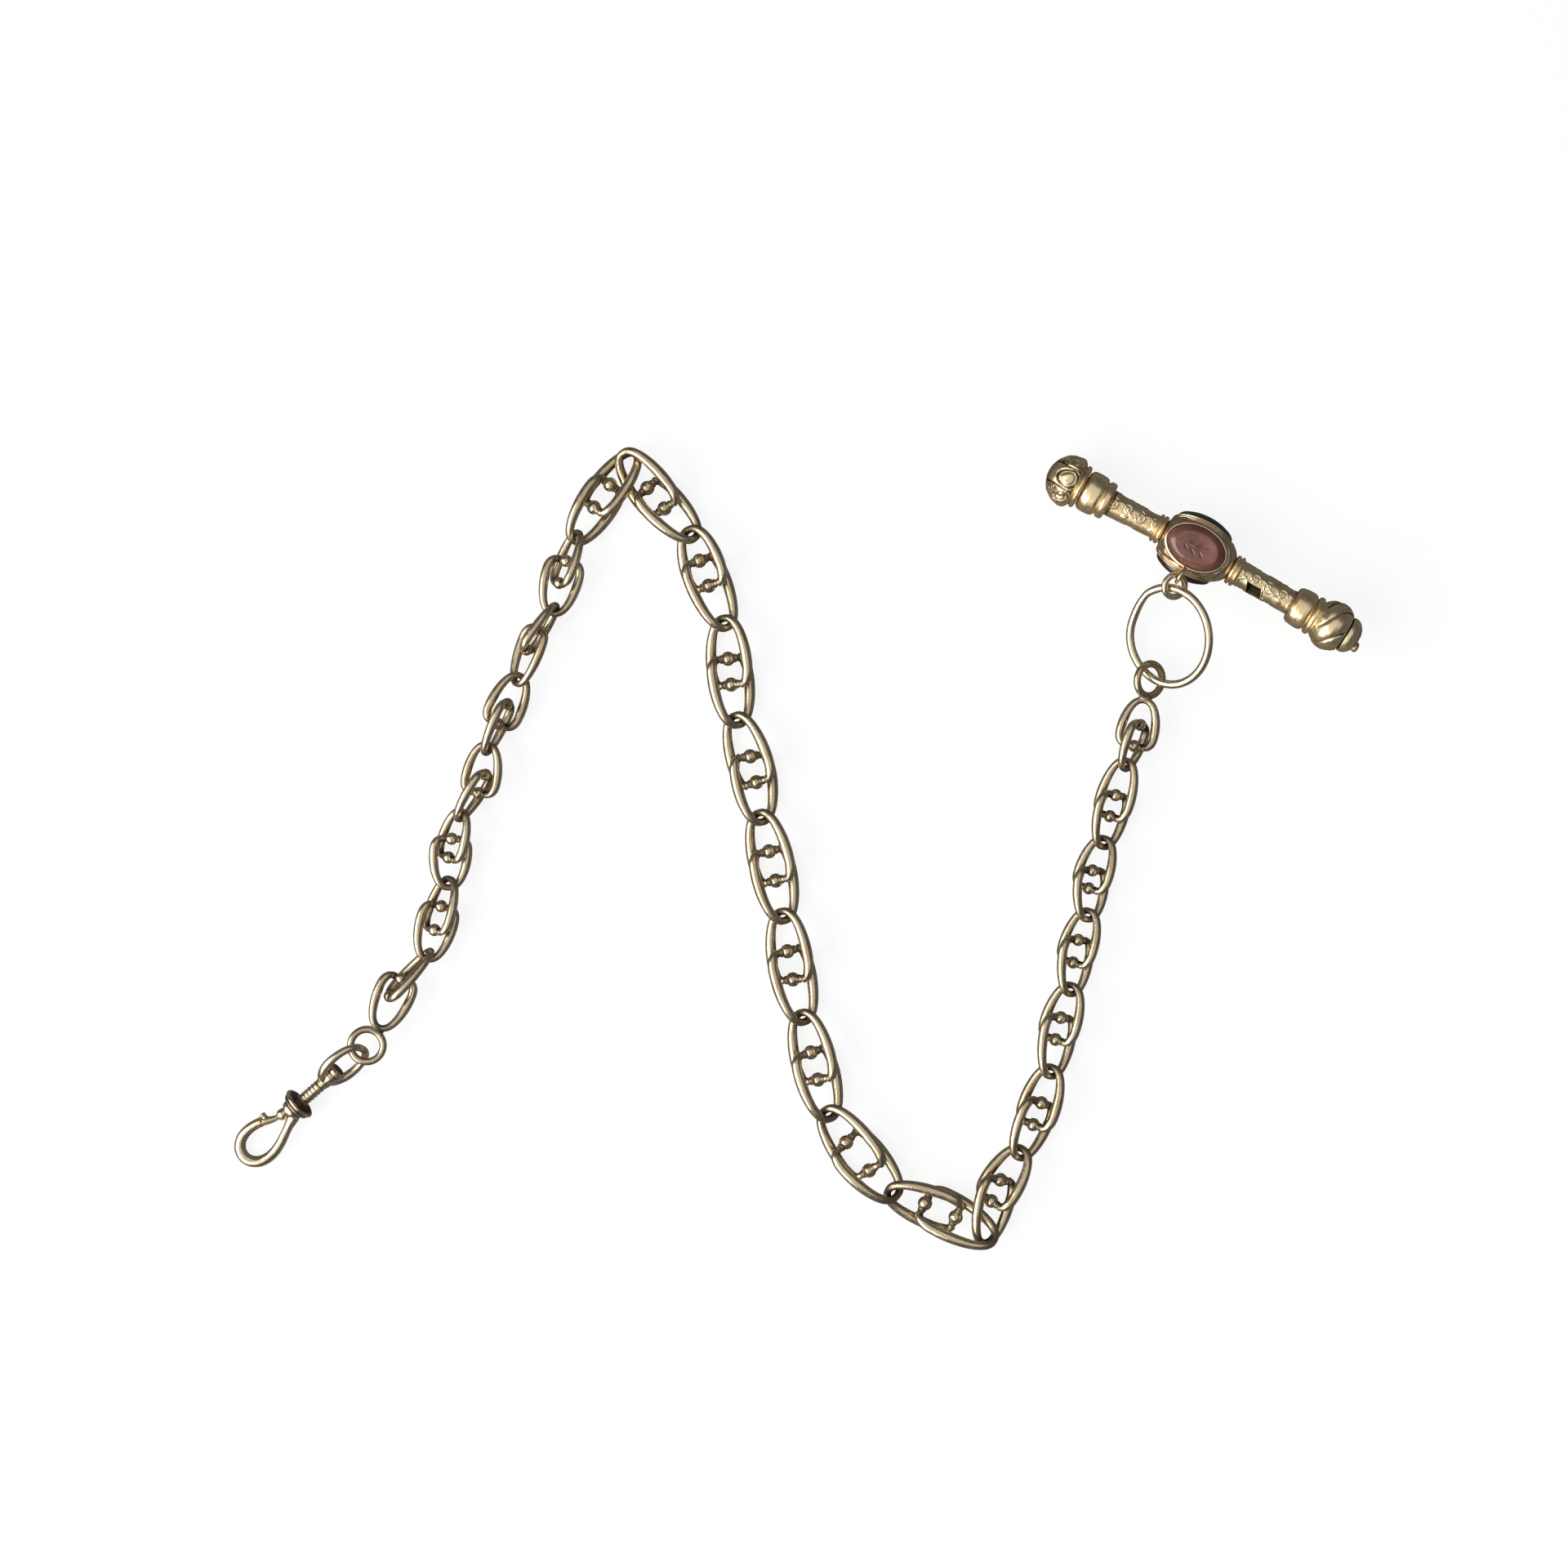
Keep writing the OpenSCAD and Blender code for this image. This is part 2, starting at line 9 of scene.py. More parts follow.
import bpy
import numpy as np
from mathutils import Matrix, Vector


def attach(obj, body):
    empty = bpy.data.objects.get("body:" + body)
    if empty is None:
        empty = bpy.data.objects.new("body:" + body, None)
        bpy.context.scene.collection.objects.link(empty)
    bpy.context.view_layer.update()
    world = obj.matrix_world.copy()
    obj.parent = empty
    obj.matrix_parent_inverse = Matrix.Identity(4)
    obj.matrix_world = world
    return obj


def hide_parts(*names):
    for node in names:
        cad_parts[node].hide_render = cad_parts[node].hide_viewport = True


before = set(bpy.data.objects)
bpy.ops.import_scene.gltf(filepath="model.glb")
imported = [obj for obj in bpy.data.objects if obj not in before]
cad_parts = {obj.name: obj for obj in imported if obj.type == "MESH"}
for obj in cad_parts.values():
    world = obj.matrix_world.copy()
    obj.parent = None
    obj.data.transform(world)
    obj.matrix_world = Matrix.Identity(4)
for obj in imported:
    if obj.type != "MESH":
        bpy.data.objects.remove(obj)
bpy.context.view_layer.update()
MM = 0.001

# %% [markdown]
# ## Small tools
# A chain is nearly all wire. A wire could be a Blender curve with a bevel, which is quick to
# type, but then its thickness, its shading groups and its dirt can't be worked out point by
# point. So each surface here is a grid of points made by numpy: rows run along the wire and
# columns run round it. Turning matrices place a finished grid where the CAD has the part.

# %% Turning and placing
def turn(axis, degrees):
    """Matrix that turns points about x, y or z: cosines on the diagonal of the other two axes,
    minus sine above and sine below it."""
    a, b = {"x": (1, 2), "y": (2, 0), "z": (0, 1)}[axis]
    matrix = np.eye(3)
    c, s = np.cos(np.radians(degrees)), np.sin(np.radians(degrees))
    matrix[a, a] = matrix[b, b] = c
    matrix[a, b], matrix[b, a] = -s, s
    return matrix


def chain_of(*matrices):
    """Product of the matrices, the first one acting last."""
    product = np.eye(3)
    for matrix in matrices:
        product = product @ matrix
    return product


def unit(v):
    """The vectors divided by their own lengths."""
    return v / np.maximum(np.linalg.norm(v, axis=-1, keepdims=True), 1e-12)


def mix(a, b, t):
    """a where t is 0, b where t is 1, and a straight line between."""
    return a + (b - a) * t


def smooth(low, high, v):
    """0 below low, 1 above high, and the cubic 3t^2 - 2t^3 between."""
    t = np.clip((v - low) / (high - low), 0, 1)
    return t * t * (3 - 2 * t)


def bump(v, middle, width):
    """Bell curve exp(-(distance / width)^2) around the middle."""
    return np.exp(-((v - middle) / width) ** 2)


# %% Shells: a grid of points with its faces
class Shell:
    """A closed skin: points in mm, faces, and how much grime, and in the torn hole painted shade,
    lies at each point.
    """

    def __init__(self, grid, grime_and_shade, closed=False):
        """grid is rows x columns x 3. Columns always close into a loop; rows close if asked,
        or else the first and last rows get a flat cap."""
        rows, columns = grid.shape[:2]
        self.points = grid.reshape(-1, 3)
        self.grime_and_shade = np.broadcast_to(grime_and_shade, (rows, columns)).reshape(-1).astype(float)
        r = np.arange(rows if closed else rows - 1)
        i, j = np.meshgrid(r, np.arange(columns), indexing="ij")
        after, beside = (i + 1) % rows, (j + 1) % columns
        corners = [i * columns + j, i * columns + beside,
                   after * columns + beside, after * columns + j]
        self.faces = np.stack(corners, -1).reshape(-1, 4)
        self.caps = []
        if not closed:
            last = (rows - 1) * columns
            self.caps = [list(range(columns - 1, -1, -1)), list(range(last, last + columns))]
        if self.volume() < 0:
            self.faces = self.faces[:, ::-1]
            self.caps = [cap[::-1] for cap in self.caps]

    def volume(self):
        """Sum over the quads' two triangles of a . (b x c) / 6; the small caps hardly count."""
        p = self.points - self.points.mean(0)
        a, b, c, d = (p[self.faces[:, k]] for k in range(4))
        return (np.sum(a * np.cross(b, c)) + np.sum(a * np.cross(c, d))) / 6

    def placed(self, matrix, origin):
        """The same shell, turned by the matrix and then moved to the origin given."""
        self.points = self.points @ np.asarray(matrix).T + np.asarray(origin, float)
        return self


def sweep(path, radius, sides, closed=False):
    """Grid of circles along a flat path in the XY plane: point + r (cos a * n + sin a * z),
    where n is the path's direction turned a quarter to the left."""
    ahead, behind = np.roll(path, -1, 0) - path, path - np.roll(path, 1, 0)
    if not closed:
        ahead[-1], behind[0] = behind[-1], ahead[0]
    along = unit(unit(ahead) + unit(behind))
    side = np.stack([-along[:, 1], along[:, 0], 0 * along[:, 0]], -1)
    a = np.radians(360 * (np.arange(sides) + 0.5) / sides)[None, :, None]
    r = np.broadcast_to(radius, len(path))[:, None, None]
    up = np.array([0, 0, 1.0])
    return path[:, None] + r * (np.cos(a) * side[:, None] + np.sin(a) * up)


def inner_side(grid, path, centre, depth):
    """How much a point of a bent wire faces the middle of the bend: its step from the path
    along the line to the centre, over the depth, between 0 and 1."""
    outward = unit(path - centre)[:, None]
    return np.clip(-((grid - path[:, None]) * outward).sum(-1) / depth, 0, 1)


def spread(rows, count):
    """The columns of the rows at evenly spaced lengths along their first two."""
    run = np.r_[0, np.cumsum(np.linalg.norm(np.diff(rows[:, :2], axis=0), axis=1))]
    s = np.linspace(0, run[-1], count(run[-1]))
    return np.stack([np.interp(s, run, column) for column in rows.T], -1)


def resample(rows, step, soft):
    """Rows [x, r] of a turned profile, spread evenly by arc length and smoothed with a bell
    of the width soft, so that every edge gets a small worn radius."""
    fine = spread(np.array(rows, float), lambda total: int(total / step) + 2)
    reach = int(np.ceil(3 * soft / step))
    bell = np.exp(-0.5 * (np.arange(-reach, reach + 1) * step / soft) ** 2)
    bell /= bell.sum()
    before = 2 * fine[0] - fine[reach:0:-1]
    beyond = 2 * fine[-1] - fine[-2:-reach - 2:-1]
    padded = np.vstack([before, fine, beyond])
    return np.stack([np.convolve(padded[:, k], bell, "valid") for k in range(2)], -1)


THINNEST = 0.01


def lathe(profile, columns, relief=None):
    """Grid of a profile [x, r] turned about X: (x, r cos a, r sin a), with a relief height
    for every row and angle added to r."""
    a = np.radians(360 * np.arange(columns) / columns)
    x, r = (profile[:, k][:, None] + 0 * a for k in (0, 1))
    if relief is not None:
        r = np.maximum(r + relief, THINNEST)
    return np.stack([x, r * np.cos(a), r * np.sin(a)], -1)


# %% Writing shells into Blender
TRIANGLES = []


def piece(name, shells, finish, body, node):
    """One object from a list of shells, in metres, riding on a body and standing for a CAD node.
    A face of n corners counts as n - 2 triangles."""
    start, points, faces, grime_and_shade = 0, [], [], []
    for shell in shells:
        points.append(shell.points * MM)
        grime_and_shade.append(shell.grime_and_shade)
        faces += (shell.faces + start).tolist()
        faces += [[corner + start for corner in cap] for cap in shell.caps]
        start += len(shell.points)
    mesh = bpy.data.meshes.new(name)
    mesh.from_pydata(np.vstack(points), [], faces)
    mesh.polygons.foreach_set("use_smooth", np.ones(len(faces), bool))
    layer = mesh.attributes.new("grime_and_shade", "FLOAT", "POINT")
    layer.data.foreach_set("value", np.concatenate(grime_and_shade).astype(np.float32))
    mesh.materials.append(finish)
    thing = bpy.data.objects.new(name, mesh)
    bpy.context.scene.collection.objects.link(thing)
    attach(thing, body)
    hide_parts(node)
    TRIANGLES.append(sum(len(face) - 2 for face in faces))
    print("%s: %d shells, %d triangles, on %s" % (name, len(shells), TRIANGLES[-1], body))


# %% [markdown]
# ## Finishes
# Old gold is a metal with a warm base colour that varies slowly, brighter where fingers rub it
# and browner in the hollows. An image could hold that, but it would have to be painted for every
# link. Noise in object space does it for all of them, and the grime-and-shade value on each point
# says where the hollows are and where shade is painted, as inside the torn hole of a tube. The
# little class below lets shader sums be written as plain Python.

# %% Shader sums in Python
class Signal:
    """A socket that takes part in sums: each operator adds one Math node to its recipe."""

    def __init__(self, recipe, socket):
        self.recipe, self.socket = recipe, socket

    def _sum(self, operation, first, second):
        return self.recipe.add("Math", {"operation": operation}, {0: first, 1: second})

    def __add__(self, other):
        return self._sum("ADD", self, other)

    def __radd__(self, other):
        return self._sum("ADD", other, self)

    def __sub__(self, other):
        return self._sum("SUBTRACT", self, other)

    def __rsub__(self, other):
        return self._sum("SUBTRACT", other, self)

    def __mul__(self, other):
        return self._sum("MULTIPLY", self, other)

    def __rmul__(self, other):
        return self._sum("MULTIPLY", other, self)


class Recipe:
    """A material under construction."""

    def __init__(self, name, constants):
        """Numbers that are the same all over are set on the shader's own sockets."""
        self.material = bpy.data.materials.new(name)
        self.material.use_nodes = True
        self.tree = self.material.node_tree
        self.shader = self.tree.nodes["Principled BSDF"]
        for socket, number in constants.items():
            self.shader.inputs[socket].default_value = number

    def add(self, kind, settings=None, inputs=None, out=0):
        """A node of the kind, its settings first, then its sockets; returns one output."""
        node = self.tree.nodes.new("ShaderNode" + kind)
        for key, setting in (settings or {}).items():
            setattr(node, key, setting)
        for key, value in (inputs or {}).items():
            self.feed(node.inputs[key], value)
        return Signal(self, node.outputs[out])

    def feed(self, socket, value):
        """Link a signal to the socket, or write a plain value on it."""
        if isinstance(value, Signal):
            self.tree.links.new(value.socket, socket)
        else:
            socket.default_value = value

    def blend(self, a, b, mask):
        """Colour a where the mask is 0 and b where it is 1."""
        return self.add("Mix", {"data_type": "RGBA"}, {0: mask, 6: a, 7: b}, 2)

    def noise(self, scale, detail, rough, place):
        """Cloudy values around 0.5; the scale is in clouds per metre."""
        return self.add("TexNoise", {}, {"Vector": place, "Scale": scale, "Detail": detail,
                                         "Roughness": rough}, "Fac")

    def between(self, value, low, high):
        """0 where the value is below low, 1 above high, and a smooth step between."""
        return self.add("MapRange", {"interpolation_type": "SMOOTHSTEP"},
                        {0: value, 1: low, 2: high, 3: 0.0, 4: 1.0})

    def dents(self, height, strength, distance, under=None):
        """A bumped normal; the distance is in metres."""
        inputs = {"Height": height, "Strength": strength, "Distance": distance}
        if under is not None:
            inputs["Normal"] = under
        return self.add("Bump", {}, inputs)

    def done(self, **links):
        """Feed the shader's varying sockets and hand over the material."""
        for key, value in links.items():
            self.feed(self.shader.inputs[key.replace("_", " ")], value)
        return self.material


def rgb(red, green, blue):
    """Display values 0..255 as the linear colour that a shader wants."""
    v = np.array([red, green, blue]) / 255
    linear = np.where(v <= 0.04045, v / 12.92, ((v + 0.055) / 1.055) ** 2.4)
    return (*[float(c) for c in linear], 1.0)


# %% [markdown]
# ### Worn gold
# The chain, the rings and the toggle are one alloy in three states: the links are paler and
# greyer, the toggle is a brighter yellow. One recipe with a few colours makes them all. The
# clouds are a few millimetres wide, the scuffs a few tenths, and the hollows take their place
# from the grime on the points, as does the painted shade inside the torn hole of a tube.

# %% Gold
CLOUDS, SPECKS, SCUFFS = 260, 1500, 5200
DENT_DEEP, SCUFF_DEEP = 0.00006, 0.000021
# Near black for painted shade, mainly inside the torn hole of a tube; it also darkens the deepest
# lines and grooves.
PITCH_BLACK = rgb(24, 19, 16)


def gold(name, bright, deep, soil, shine=0.2, matt=0.34, dirt=1.0):
    """Clouds mix the bright and the deep colour; soil covers where grime and shade times dirt,
    with some specks, passes a threshold, and near black fills where the grime-and-shade value
    itself is highest, which paints the shade inside the torn hole and darkens the deepest lines
    and grooves.
    Roughness runs from shine to matt with the specks, and 0.26 more in the soil."""
    r = Recipe(name, {"Metallic": 1.0})
    place = r.add("TexCoord", out="Object")
    clouds = r.between(r.noise(CLOUDS, 4, 0.6, place), 0.38, 0.66)
    specks = r.noise(SPECKS, 3, 0.65, place)
    scuffs = r.noise(SCUFFS, 2, 0.6, place)
    grime_and_shade = r.add("Attribute", {"attribute_name": "grime_and_shade"}, out="Fac")
    soiled_and_shaded = r.between(grime_and_shade * dirt + (specks - 0.5) * 0.55 + (clouds - 0.5) * 0.12, 0.22, 0.95)
    colour = r.blend(bright, deep, clouds * 0.7)
    colour = r.blend(colour, soil, soiled_and_shaded * 0.9)
    # painted shade: near black where the grime-and-shade value is highest, above all inside the
    # torn hole
    colour = r.blend(colour, PITCH_BLACK, r.between(grime_and_shade, 0.86, 1.0) * 0.85)
    rough = shine + (matt - shine) * r.between(specks, 0.35, 0.7) + soiled_and_shaded * 0.26
    normal = r.dents(specks, 0.14, DENT_DEEP)
    normal = r.dents(scuffs, 0.06, SCUFF_DEEP, normal)
    return r.done(Base_Color=colour, Roughness=rough, Normal=normal)


CHAIN = gold("worn chain gold", rgb(228, 210, 177), rgb(198, 173, 141), rgb(74, 64, 60))
CLIP = gold("clip gold", rgb(232, 214, 185), rgb(204, 180, 149), rgb(80, 68, 62))
RING = gold("ring gold", rgb(244, 228, 194), rgb(224, 198, 158), rgb(104, 86, 72), dirt=0.8)
TOGGLE = gold("yellow toggle gold", rgb(255, 233, 188), rgb(252, 216, 166), rgb(94, 71, 52),
              shine=0.27, matt=0.42, dirt=0.7)
MOUNT = gold("pink setting gold", rgb(238, 211, 176), rgb(208, 176, 144), rgb(82, 68, 62),
             dirt=0.8)
print("golds:", [finish.name for finish in (CHAIN, CLIP, RING, TOGGLE, MOUNT)])

# %% [markdown]
# ## The run of links
# Each pair is two stirrups back to back: a horseshoe of tapered wire, closed by a thin cross
# bar with a ball on it. The table gives where a pair hooks into the one before it, the middle
# between its two bars, how far the bars lie apart, its width, and how each link is rolled. The
# numbers are the CAD's, so each visible link lies where its own solid does.

# %% The table of pairs
TABLE = np.array([
    # hook x, y, middle x, middle y, bars apart, width, roll 1, roll 2
    [-61.1, -26.1, -58.4, -20.0, 3.1, 6.2, 18, -72],
    [-53.9, -15.1, -52.5, -9.8, 3.6, 6.3, 18, -43],
    [-51.0, -4.7, -50.6, 0.4, 2.8, 6.3, 18, -42],
    [-49.2, 5.2, -46.3, 9.9, 2.9, 6.2, 72, -18],
    [-45.3, 14.9, -43.0, 20.0, 3.2, 6.2, 76, 26],
    [-40.7, 25.0, -38.6, 30.8, 3.4, 6.2, -47, 78],
    [-35.6, 35.3, -34.2, 40.7, 3.4, 6.2, 12, -58],
    [-32.3, 45.9, -28.5, 51.8, 4.1, 7.2, 40, -36],
    [-24.6, 56.9, -20.6, 51.6, 3.9, 7.5, 33, -33],
    [-15.5, 46.3, -13.6, 40.6, 3.9, 7.6, 32, -32],
    [-10.6, 33.3, -9.9, 26.2, 3.8, 7.6, 31, -31],
    [-8.9, 19.1, -6.6, 11.9, 3.9, 7.6, 31, -31],
    [-5.4, 4.9, -3.7, -2.2, 4.4, 7.6, 31, -31],
    [-2.1, -9.5, -1.0, -16.7, 4.2, 7.6, 31, -31],
    [0.8, -24.3, 2.5, -31.4, 4.1, 7.6, 32, -32],
    [4.5, -38.4, 8.9, -44.5, 5.3, 8.4, 33, -33],
    [13.9, -49.9, 20.8, -52.6, 4.9, 7.8, 33, -33],
    [27.5, -56.0, 29.2, -49.7, 3.4, 7.0, 33, -33],
    [32.6, -44.2, 35.0, -38.4, 3.4, 6.8, 33, -33],
    [37.1, -32.3, 38.2, -26.0, 3.3, 6.6, 33, -33],
    [40.0, -20.3, 40.8, -14.7, 3.4, 6.3, 33, -33],
    [42.5, -9.4, 43.0, -4.2, 2.7, 6.3, 33, -33],
    [44.8, 1.2, 46.1, 6.6, 3.2, 6.3, 33, -33],
    [47.9, 12.6, 49.5, 16.9, 3.2, 6.2, 56, -6],
])
COUNT = len(TABLE)
LEG_LARGE, LEG_SMALL, APEX_PART, BAR_PART, BALL_PART = 0.72, 0.61, 0.74, 0.70, 1.46
SMALL_WIDTH, LARGE_WIDTH = 6.2, 7.3

bars, width, rolls = TABLE[:, 4], TABLE[:, 5], TABLE[:, 6:8]
leg = mix(LEG_SMALL, LEG_LARGE,
          np.clip((width - SMALL_WIDTH) / (LARGE_WIDTH - SMALL_WIDTH), 0, 1))
apex, bar, ball = APEX_PART * leg, BAR_PART * leg, BALL_PART * leg
half = width / 2 - leg
print("wire radius from", leg.min(), "to", leg.max(), "mm")

# %% [markdown]
# ### How the links lie
# A rolled link rests on one leg, so the height of its axis follows from its width and its roll.
# Where the chain turns sharply one apex climbs over the other. All of this is a handful of
# array sums over the table, one value for each hook between two pairs.

# %% Hooks and headings
CHAIN_END, FIRST_HEIGHT, LAST_HEIGHT, BEND_RISE = [50.8, 22.4], 3.7, 2.7, 1.8
need = half[:, None] * np.abs(np.sin(np.radians(rolls))) + leg[:, None]
need = np.maximum(need.max(1), ball)
height = np.r_[FIRST_HEIGHT, np.maximum(need[:-1], need[1:]), LAST_HEIGHT]
hook = np.column_stack([np.vstack([TABLE[:, :2], CHAIN_END]), height])
middle = np.column_stack([TABLE[:, 2:4], (height[:-1] + height[1:]) / 2])
coming, going = unit((hook[1:] - middle)[:, :2])[:-1], unit((middle - hook[:-1])[:, :2])[1:]
half_turn = np.r_[0, np.arccos(np.clip((coming * going).sum(1), -1, 1)) / 2, 0]
left = np.r_[0, coming[:, 0] * going[:, 1] - coming[:, 1] * going[:, 0], 0]
rise = BEND_RISE * np.sin(half_turn) ** 2
start, end = hook[:-1].copy(), hook[1:].copy()
start[:, 2] += np.where(left[:-1] < 0, rise[:-1], 0)
end[:, 2] += np.where(left[1:] > 0, rise[1:], 0)
heading = np.stack([unit(middle - start), unit(end - middle)], 1)
print("hooks lie from %.1f to %.1f mm up" % (height.min(), height.max()))

# %% How long the links are
LINK_GAP, BEND_REACH, SHORT_END = 0.34, 0.3, -0.45


def reach(k, i):
    """How far an apex of pair i reaches past the hook k: its wire and half the gap over the
    cosine of half the turn, and a little more in a sharp turn; soldered ends stop short."""
    if k in (0, COUNT):
        return SHORT_END
    return (apex[i] + LINK_GAP / 2) / max(np.cos(half_turn[k]), 0.6) \
        + BEND_REACH * np.sin(half_turn[k]) ** 2


lengths = [[np.linalg.norm(middle[i] - start[i]) + bars[i] / 2 + reach(i, i),
            np.linalg.norm(end[i] - middle[i]) + bars[i] / 2 + reach(i + 1, i)]
           for i in range(COUNT)]
print("links from %.1f to %.1f mm long" % (np.min(lengths), np.max(lengths)))


# %% [markdown]
# ### One stirrup
# The link is a single closed wire: from the ball in the middle of the bar, out over a thin
# collar to the knuckle, round it into the leg, and up to the apex, then back down the other
# side. Only the radius changes along the way, which is why one swept tube gives ball, bar,
# knuckle and leg without any joint to hide.

# %% The stirrup's wire
KNUCKLE_IN, KNUCKLE_LONG, LEG_BOW, BEAD_ARC, LINK_SIDES = 1.1, 0.25, 0.85, 62, 24


def stirrup(i, long):
    """Half the path from the ball to the apex, mirrored: the bar runs along y, the knuckle is a
    quarter ellipse, the leg is x = foot + (long - foot) sin a, y = half cos a ^ 0.85. The ball's
    radius falls with the cosine, the bar swells at its collar and its root, and the leg is
    fullest just past the knuckle and thinnest at the apex."""
    bar_end, foot = half[i] - KNUCKLE_IN, KNUCKLE_LONG * long
    a = np.radians(np.linspace(0, BEAD_ARC, 9))
    bead_y, bead_r = ball[i] * np.sin(a), ball[i] * np.cos(a)
    y = np.linspace(ball[i] * np.sin(a[-1]), bar_end, 12)[1:]
    neck_r = bar[i] * (1.0 + 0.3 * bump(y, ball[i] + 0.12, 0.13)
                       + 0.3 * smooth(bar_end - 0.35, bar_end, y))
    b = np.radians(np.linspace(90, 0, 16))[1:]
    c = np.radians(90 * np.linspace(0, 1, 34) ** 0.86)[1:]
    x = np.r_[0 * a, 0 * y, foot * (1 - np.sin(b)), foot + (long - foot) * np.sin(c)]
    out = np.r_[bead_y, y, bar_end + KNUCKLE_IN * np.cos(b),
                half[i] * np.maximum(np.cos(c), 0) ** LEG_BOW]
    bent, climbed = 1 - b / np.radians(90), c / np.radians(90)
    r = np.r_[np.maximum(bead_r, bar[i]), neck_r,
              mix(bar[i] * 1.12, leg[i] * 1.06, smooth(0, 0.72, bent)),
              mix(leg[i], apex[i], climbed ** 2) * (1 + 0.12 * bump(c, 0.25, 0.45))]
    path = np.stack([x, out, 0 * x], -1)
    mirrored = path[-2:0:-1] * [1, -1, 1]
    return np.vstack([path, mirrored]), np.r_[r, r[-2:0:-1]]


def stirrup_shell(i, long):
    """The wire with its grime: a sum of bells where the ball meets the bar, at the bar's roots
    and at the apex where the next link hooks in, there tarnish and painted shade together, and
    more on the inner side; the ball is clean."""
    path, r = stirrup(i, long)
    grid = sweep(path, r, LINK_SIDES, closed=True)
    x, y = grid[..., 0], grid[..., 1]
    on_bar = bump(x, 0, 1.0)
    beads = bump(np.abs(y), ball[i] + 0.12, 0.28) * on_bar
    roots = bump(np.abs(y), half[i] - 0.9, 0.6) * bump(x, 0.2, 0.9)
    tip = bump(x, long, 1.5)
    grime_and_shade = 0.12 * on_bar + 0.55 * beads + 0.6 * roots
    # tarnish and painted shade at the apex, where the next link lies in it
    grime_and_shade += 0.55 * tip + 0.30 * inner_side(grid, path, [long * 0.45, 0, 0], r[:, None])
    grime_and_shade -= 0.30 * bump(y, 0, ball[i] * 0.55) * on_bar
    return Shell(grid, np.clip(grime_and_shade, 0, 1), closed=True)


def along(direction, roll):
    """Matrix that lays X along a direction: a roll about X, then up by the arc sine of z, then
    round by the arc tangent of y over x."""
    x, y, z = direction
    return chain_of(turn("z", np.degrees(np.arctan2(y, x))), turn("y", -np.degrees(np.arcsin(z))),
                    turn("x", roll))


# %% The rings soldered on the two end links
END_RING, END_WIRE, SOLDERED_IN = 2.35, 0.54, 0.24
SOLDER_HALF, SOLDER_SQUASH = [0.62, 0.66], [0.9, 1.5, 0.85]
FIRST_TWIST, LAST_TWIST, FIRST_SIDE = 15, 40, -0.6


def circle(radius, a):
    """The points radius (cos a, sin a, 0)."""
    return radius * np.stack([np.cos(a), np.sin(a), 0 * a], -1)


def end_ring(i, long, twist, side):
    """A circle of wire past the link's apex, and a squashed ball of solder between the two:
    its rows are (0.62 sin s, 0.66 cos s)."""
    a = np.radians(np.arange(0, 360, 5))
    grid = sweep(circle(END_RING, a), END_WIRE, 20, closed=True)
    centre = [long + END_RING + END_WIRE + apex[i] - SOLDERED_IN, side, 0]
    facing = bump(a, np.pi, 0.5)[:, None]
    ring = Shell(grid, 0.15 + 0.5 * facing, closed=True).placed(turn("x", twist), centre)
    s = np.radians(np.linspace(-88, 88, 14))
    solder = lathe(np.stack([np.sin(s), np.cos(s)], -1) * SOLDER_HALF, 20) * SOLDER_SQUASH
    bead = Shell(solder, 0.75).placed(np.eye(3), [long + 0.35, side * 0.12, 0])
    return [ring, bead]


# %% All the pairs
for i in range(COUNT):
    shells = []
    for second in (0, 1):
        direction, long = heading[i, second], lengths[i][second]
        parts = [stirrup_shell(i, long)]
        if i == 0 and not second:
            parts += end_ring(i, long, FIRST_TWIST, FIRST_SIDE)
        if i == COUNT - 1 and second:
            parts += end_ring(i, long, LAST_TWIST, 0)
        facing = turn("z", 0 if second else 180)
        origin = middle[i] + direction * bars[i] / 2 * (-1 if second else 1)
        for part in parts:
            part.placed(along(direction, rolls[i, second]) @ facing, origin)
        shells += parts
    piece("links_%02d" % i, shells, CHAIN, "root", "pair_%02d" % i)
print(len(TRIANGLES), "pairs,", sum(TRIANGLES), "triangles")

# %% [markdown]
# ## The swivel clip
# Three bodies meet here: the eye stays with the chain, the hook swivels in the eye's collar, and
# a small sprung gate closes the hook. Turned parts are lathe grids from a profile of the CAD,
# and the bowed wires are swept tubes. Each body gets its own object, since it has to move alone.

# %% The clip's place
CLIP_HEADING, CLIP_DIP, EYE_ROLL = 221, 8, -53.5
FLANGE_AT, FLANGE_R = 4.56, 2.5
CLIP_TURN = chain_of(turn("z", CLIP_HEADING), turn("y", CLIP_DIP))
CLIP_AT = [-69.4, -33.95, FLANGE_R + FLANGE_AT * np.sin(np.radians(CLIP_DIP))]
EYE_TURN = CLIP_TURN @ turn("x", EYE_ROLL)
print("the swivel's collar lies at", np.round(CLIP_AT, 2), "mm")

# %% Turned parts and their grime
CLIP_EDGE, HOLLOW_REACH, HOLLOW_DIRT = 0.045, 0.5, 1.3


def cavity(profile):
    """Grime of a turned profile: how far each radius lies below the largest one near it."""
    x, r = profile.T
    near = np.abs(x[:, None] - x[None]) < HOLLOW_REACH
    return np.clip((np.where(near, r[None], 0).max(1) - r) * HOLLOW_DIRT, 0, 0.9)[:, None]


def turned(rows, columns=72):
    """A lathe grid of rows [x, r] with small worn edges, dark in its grooves."""
    profile = resample(rows, CLIP_EDGE, CLIP_EDGE)
    return Shell(lathe(profile, columns), cavity(profile))


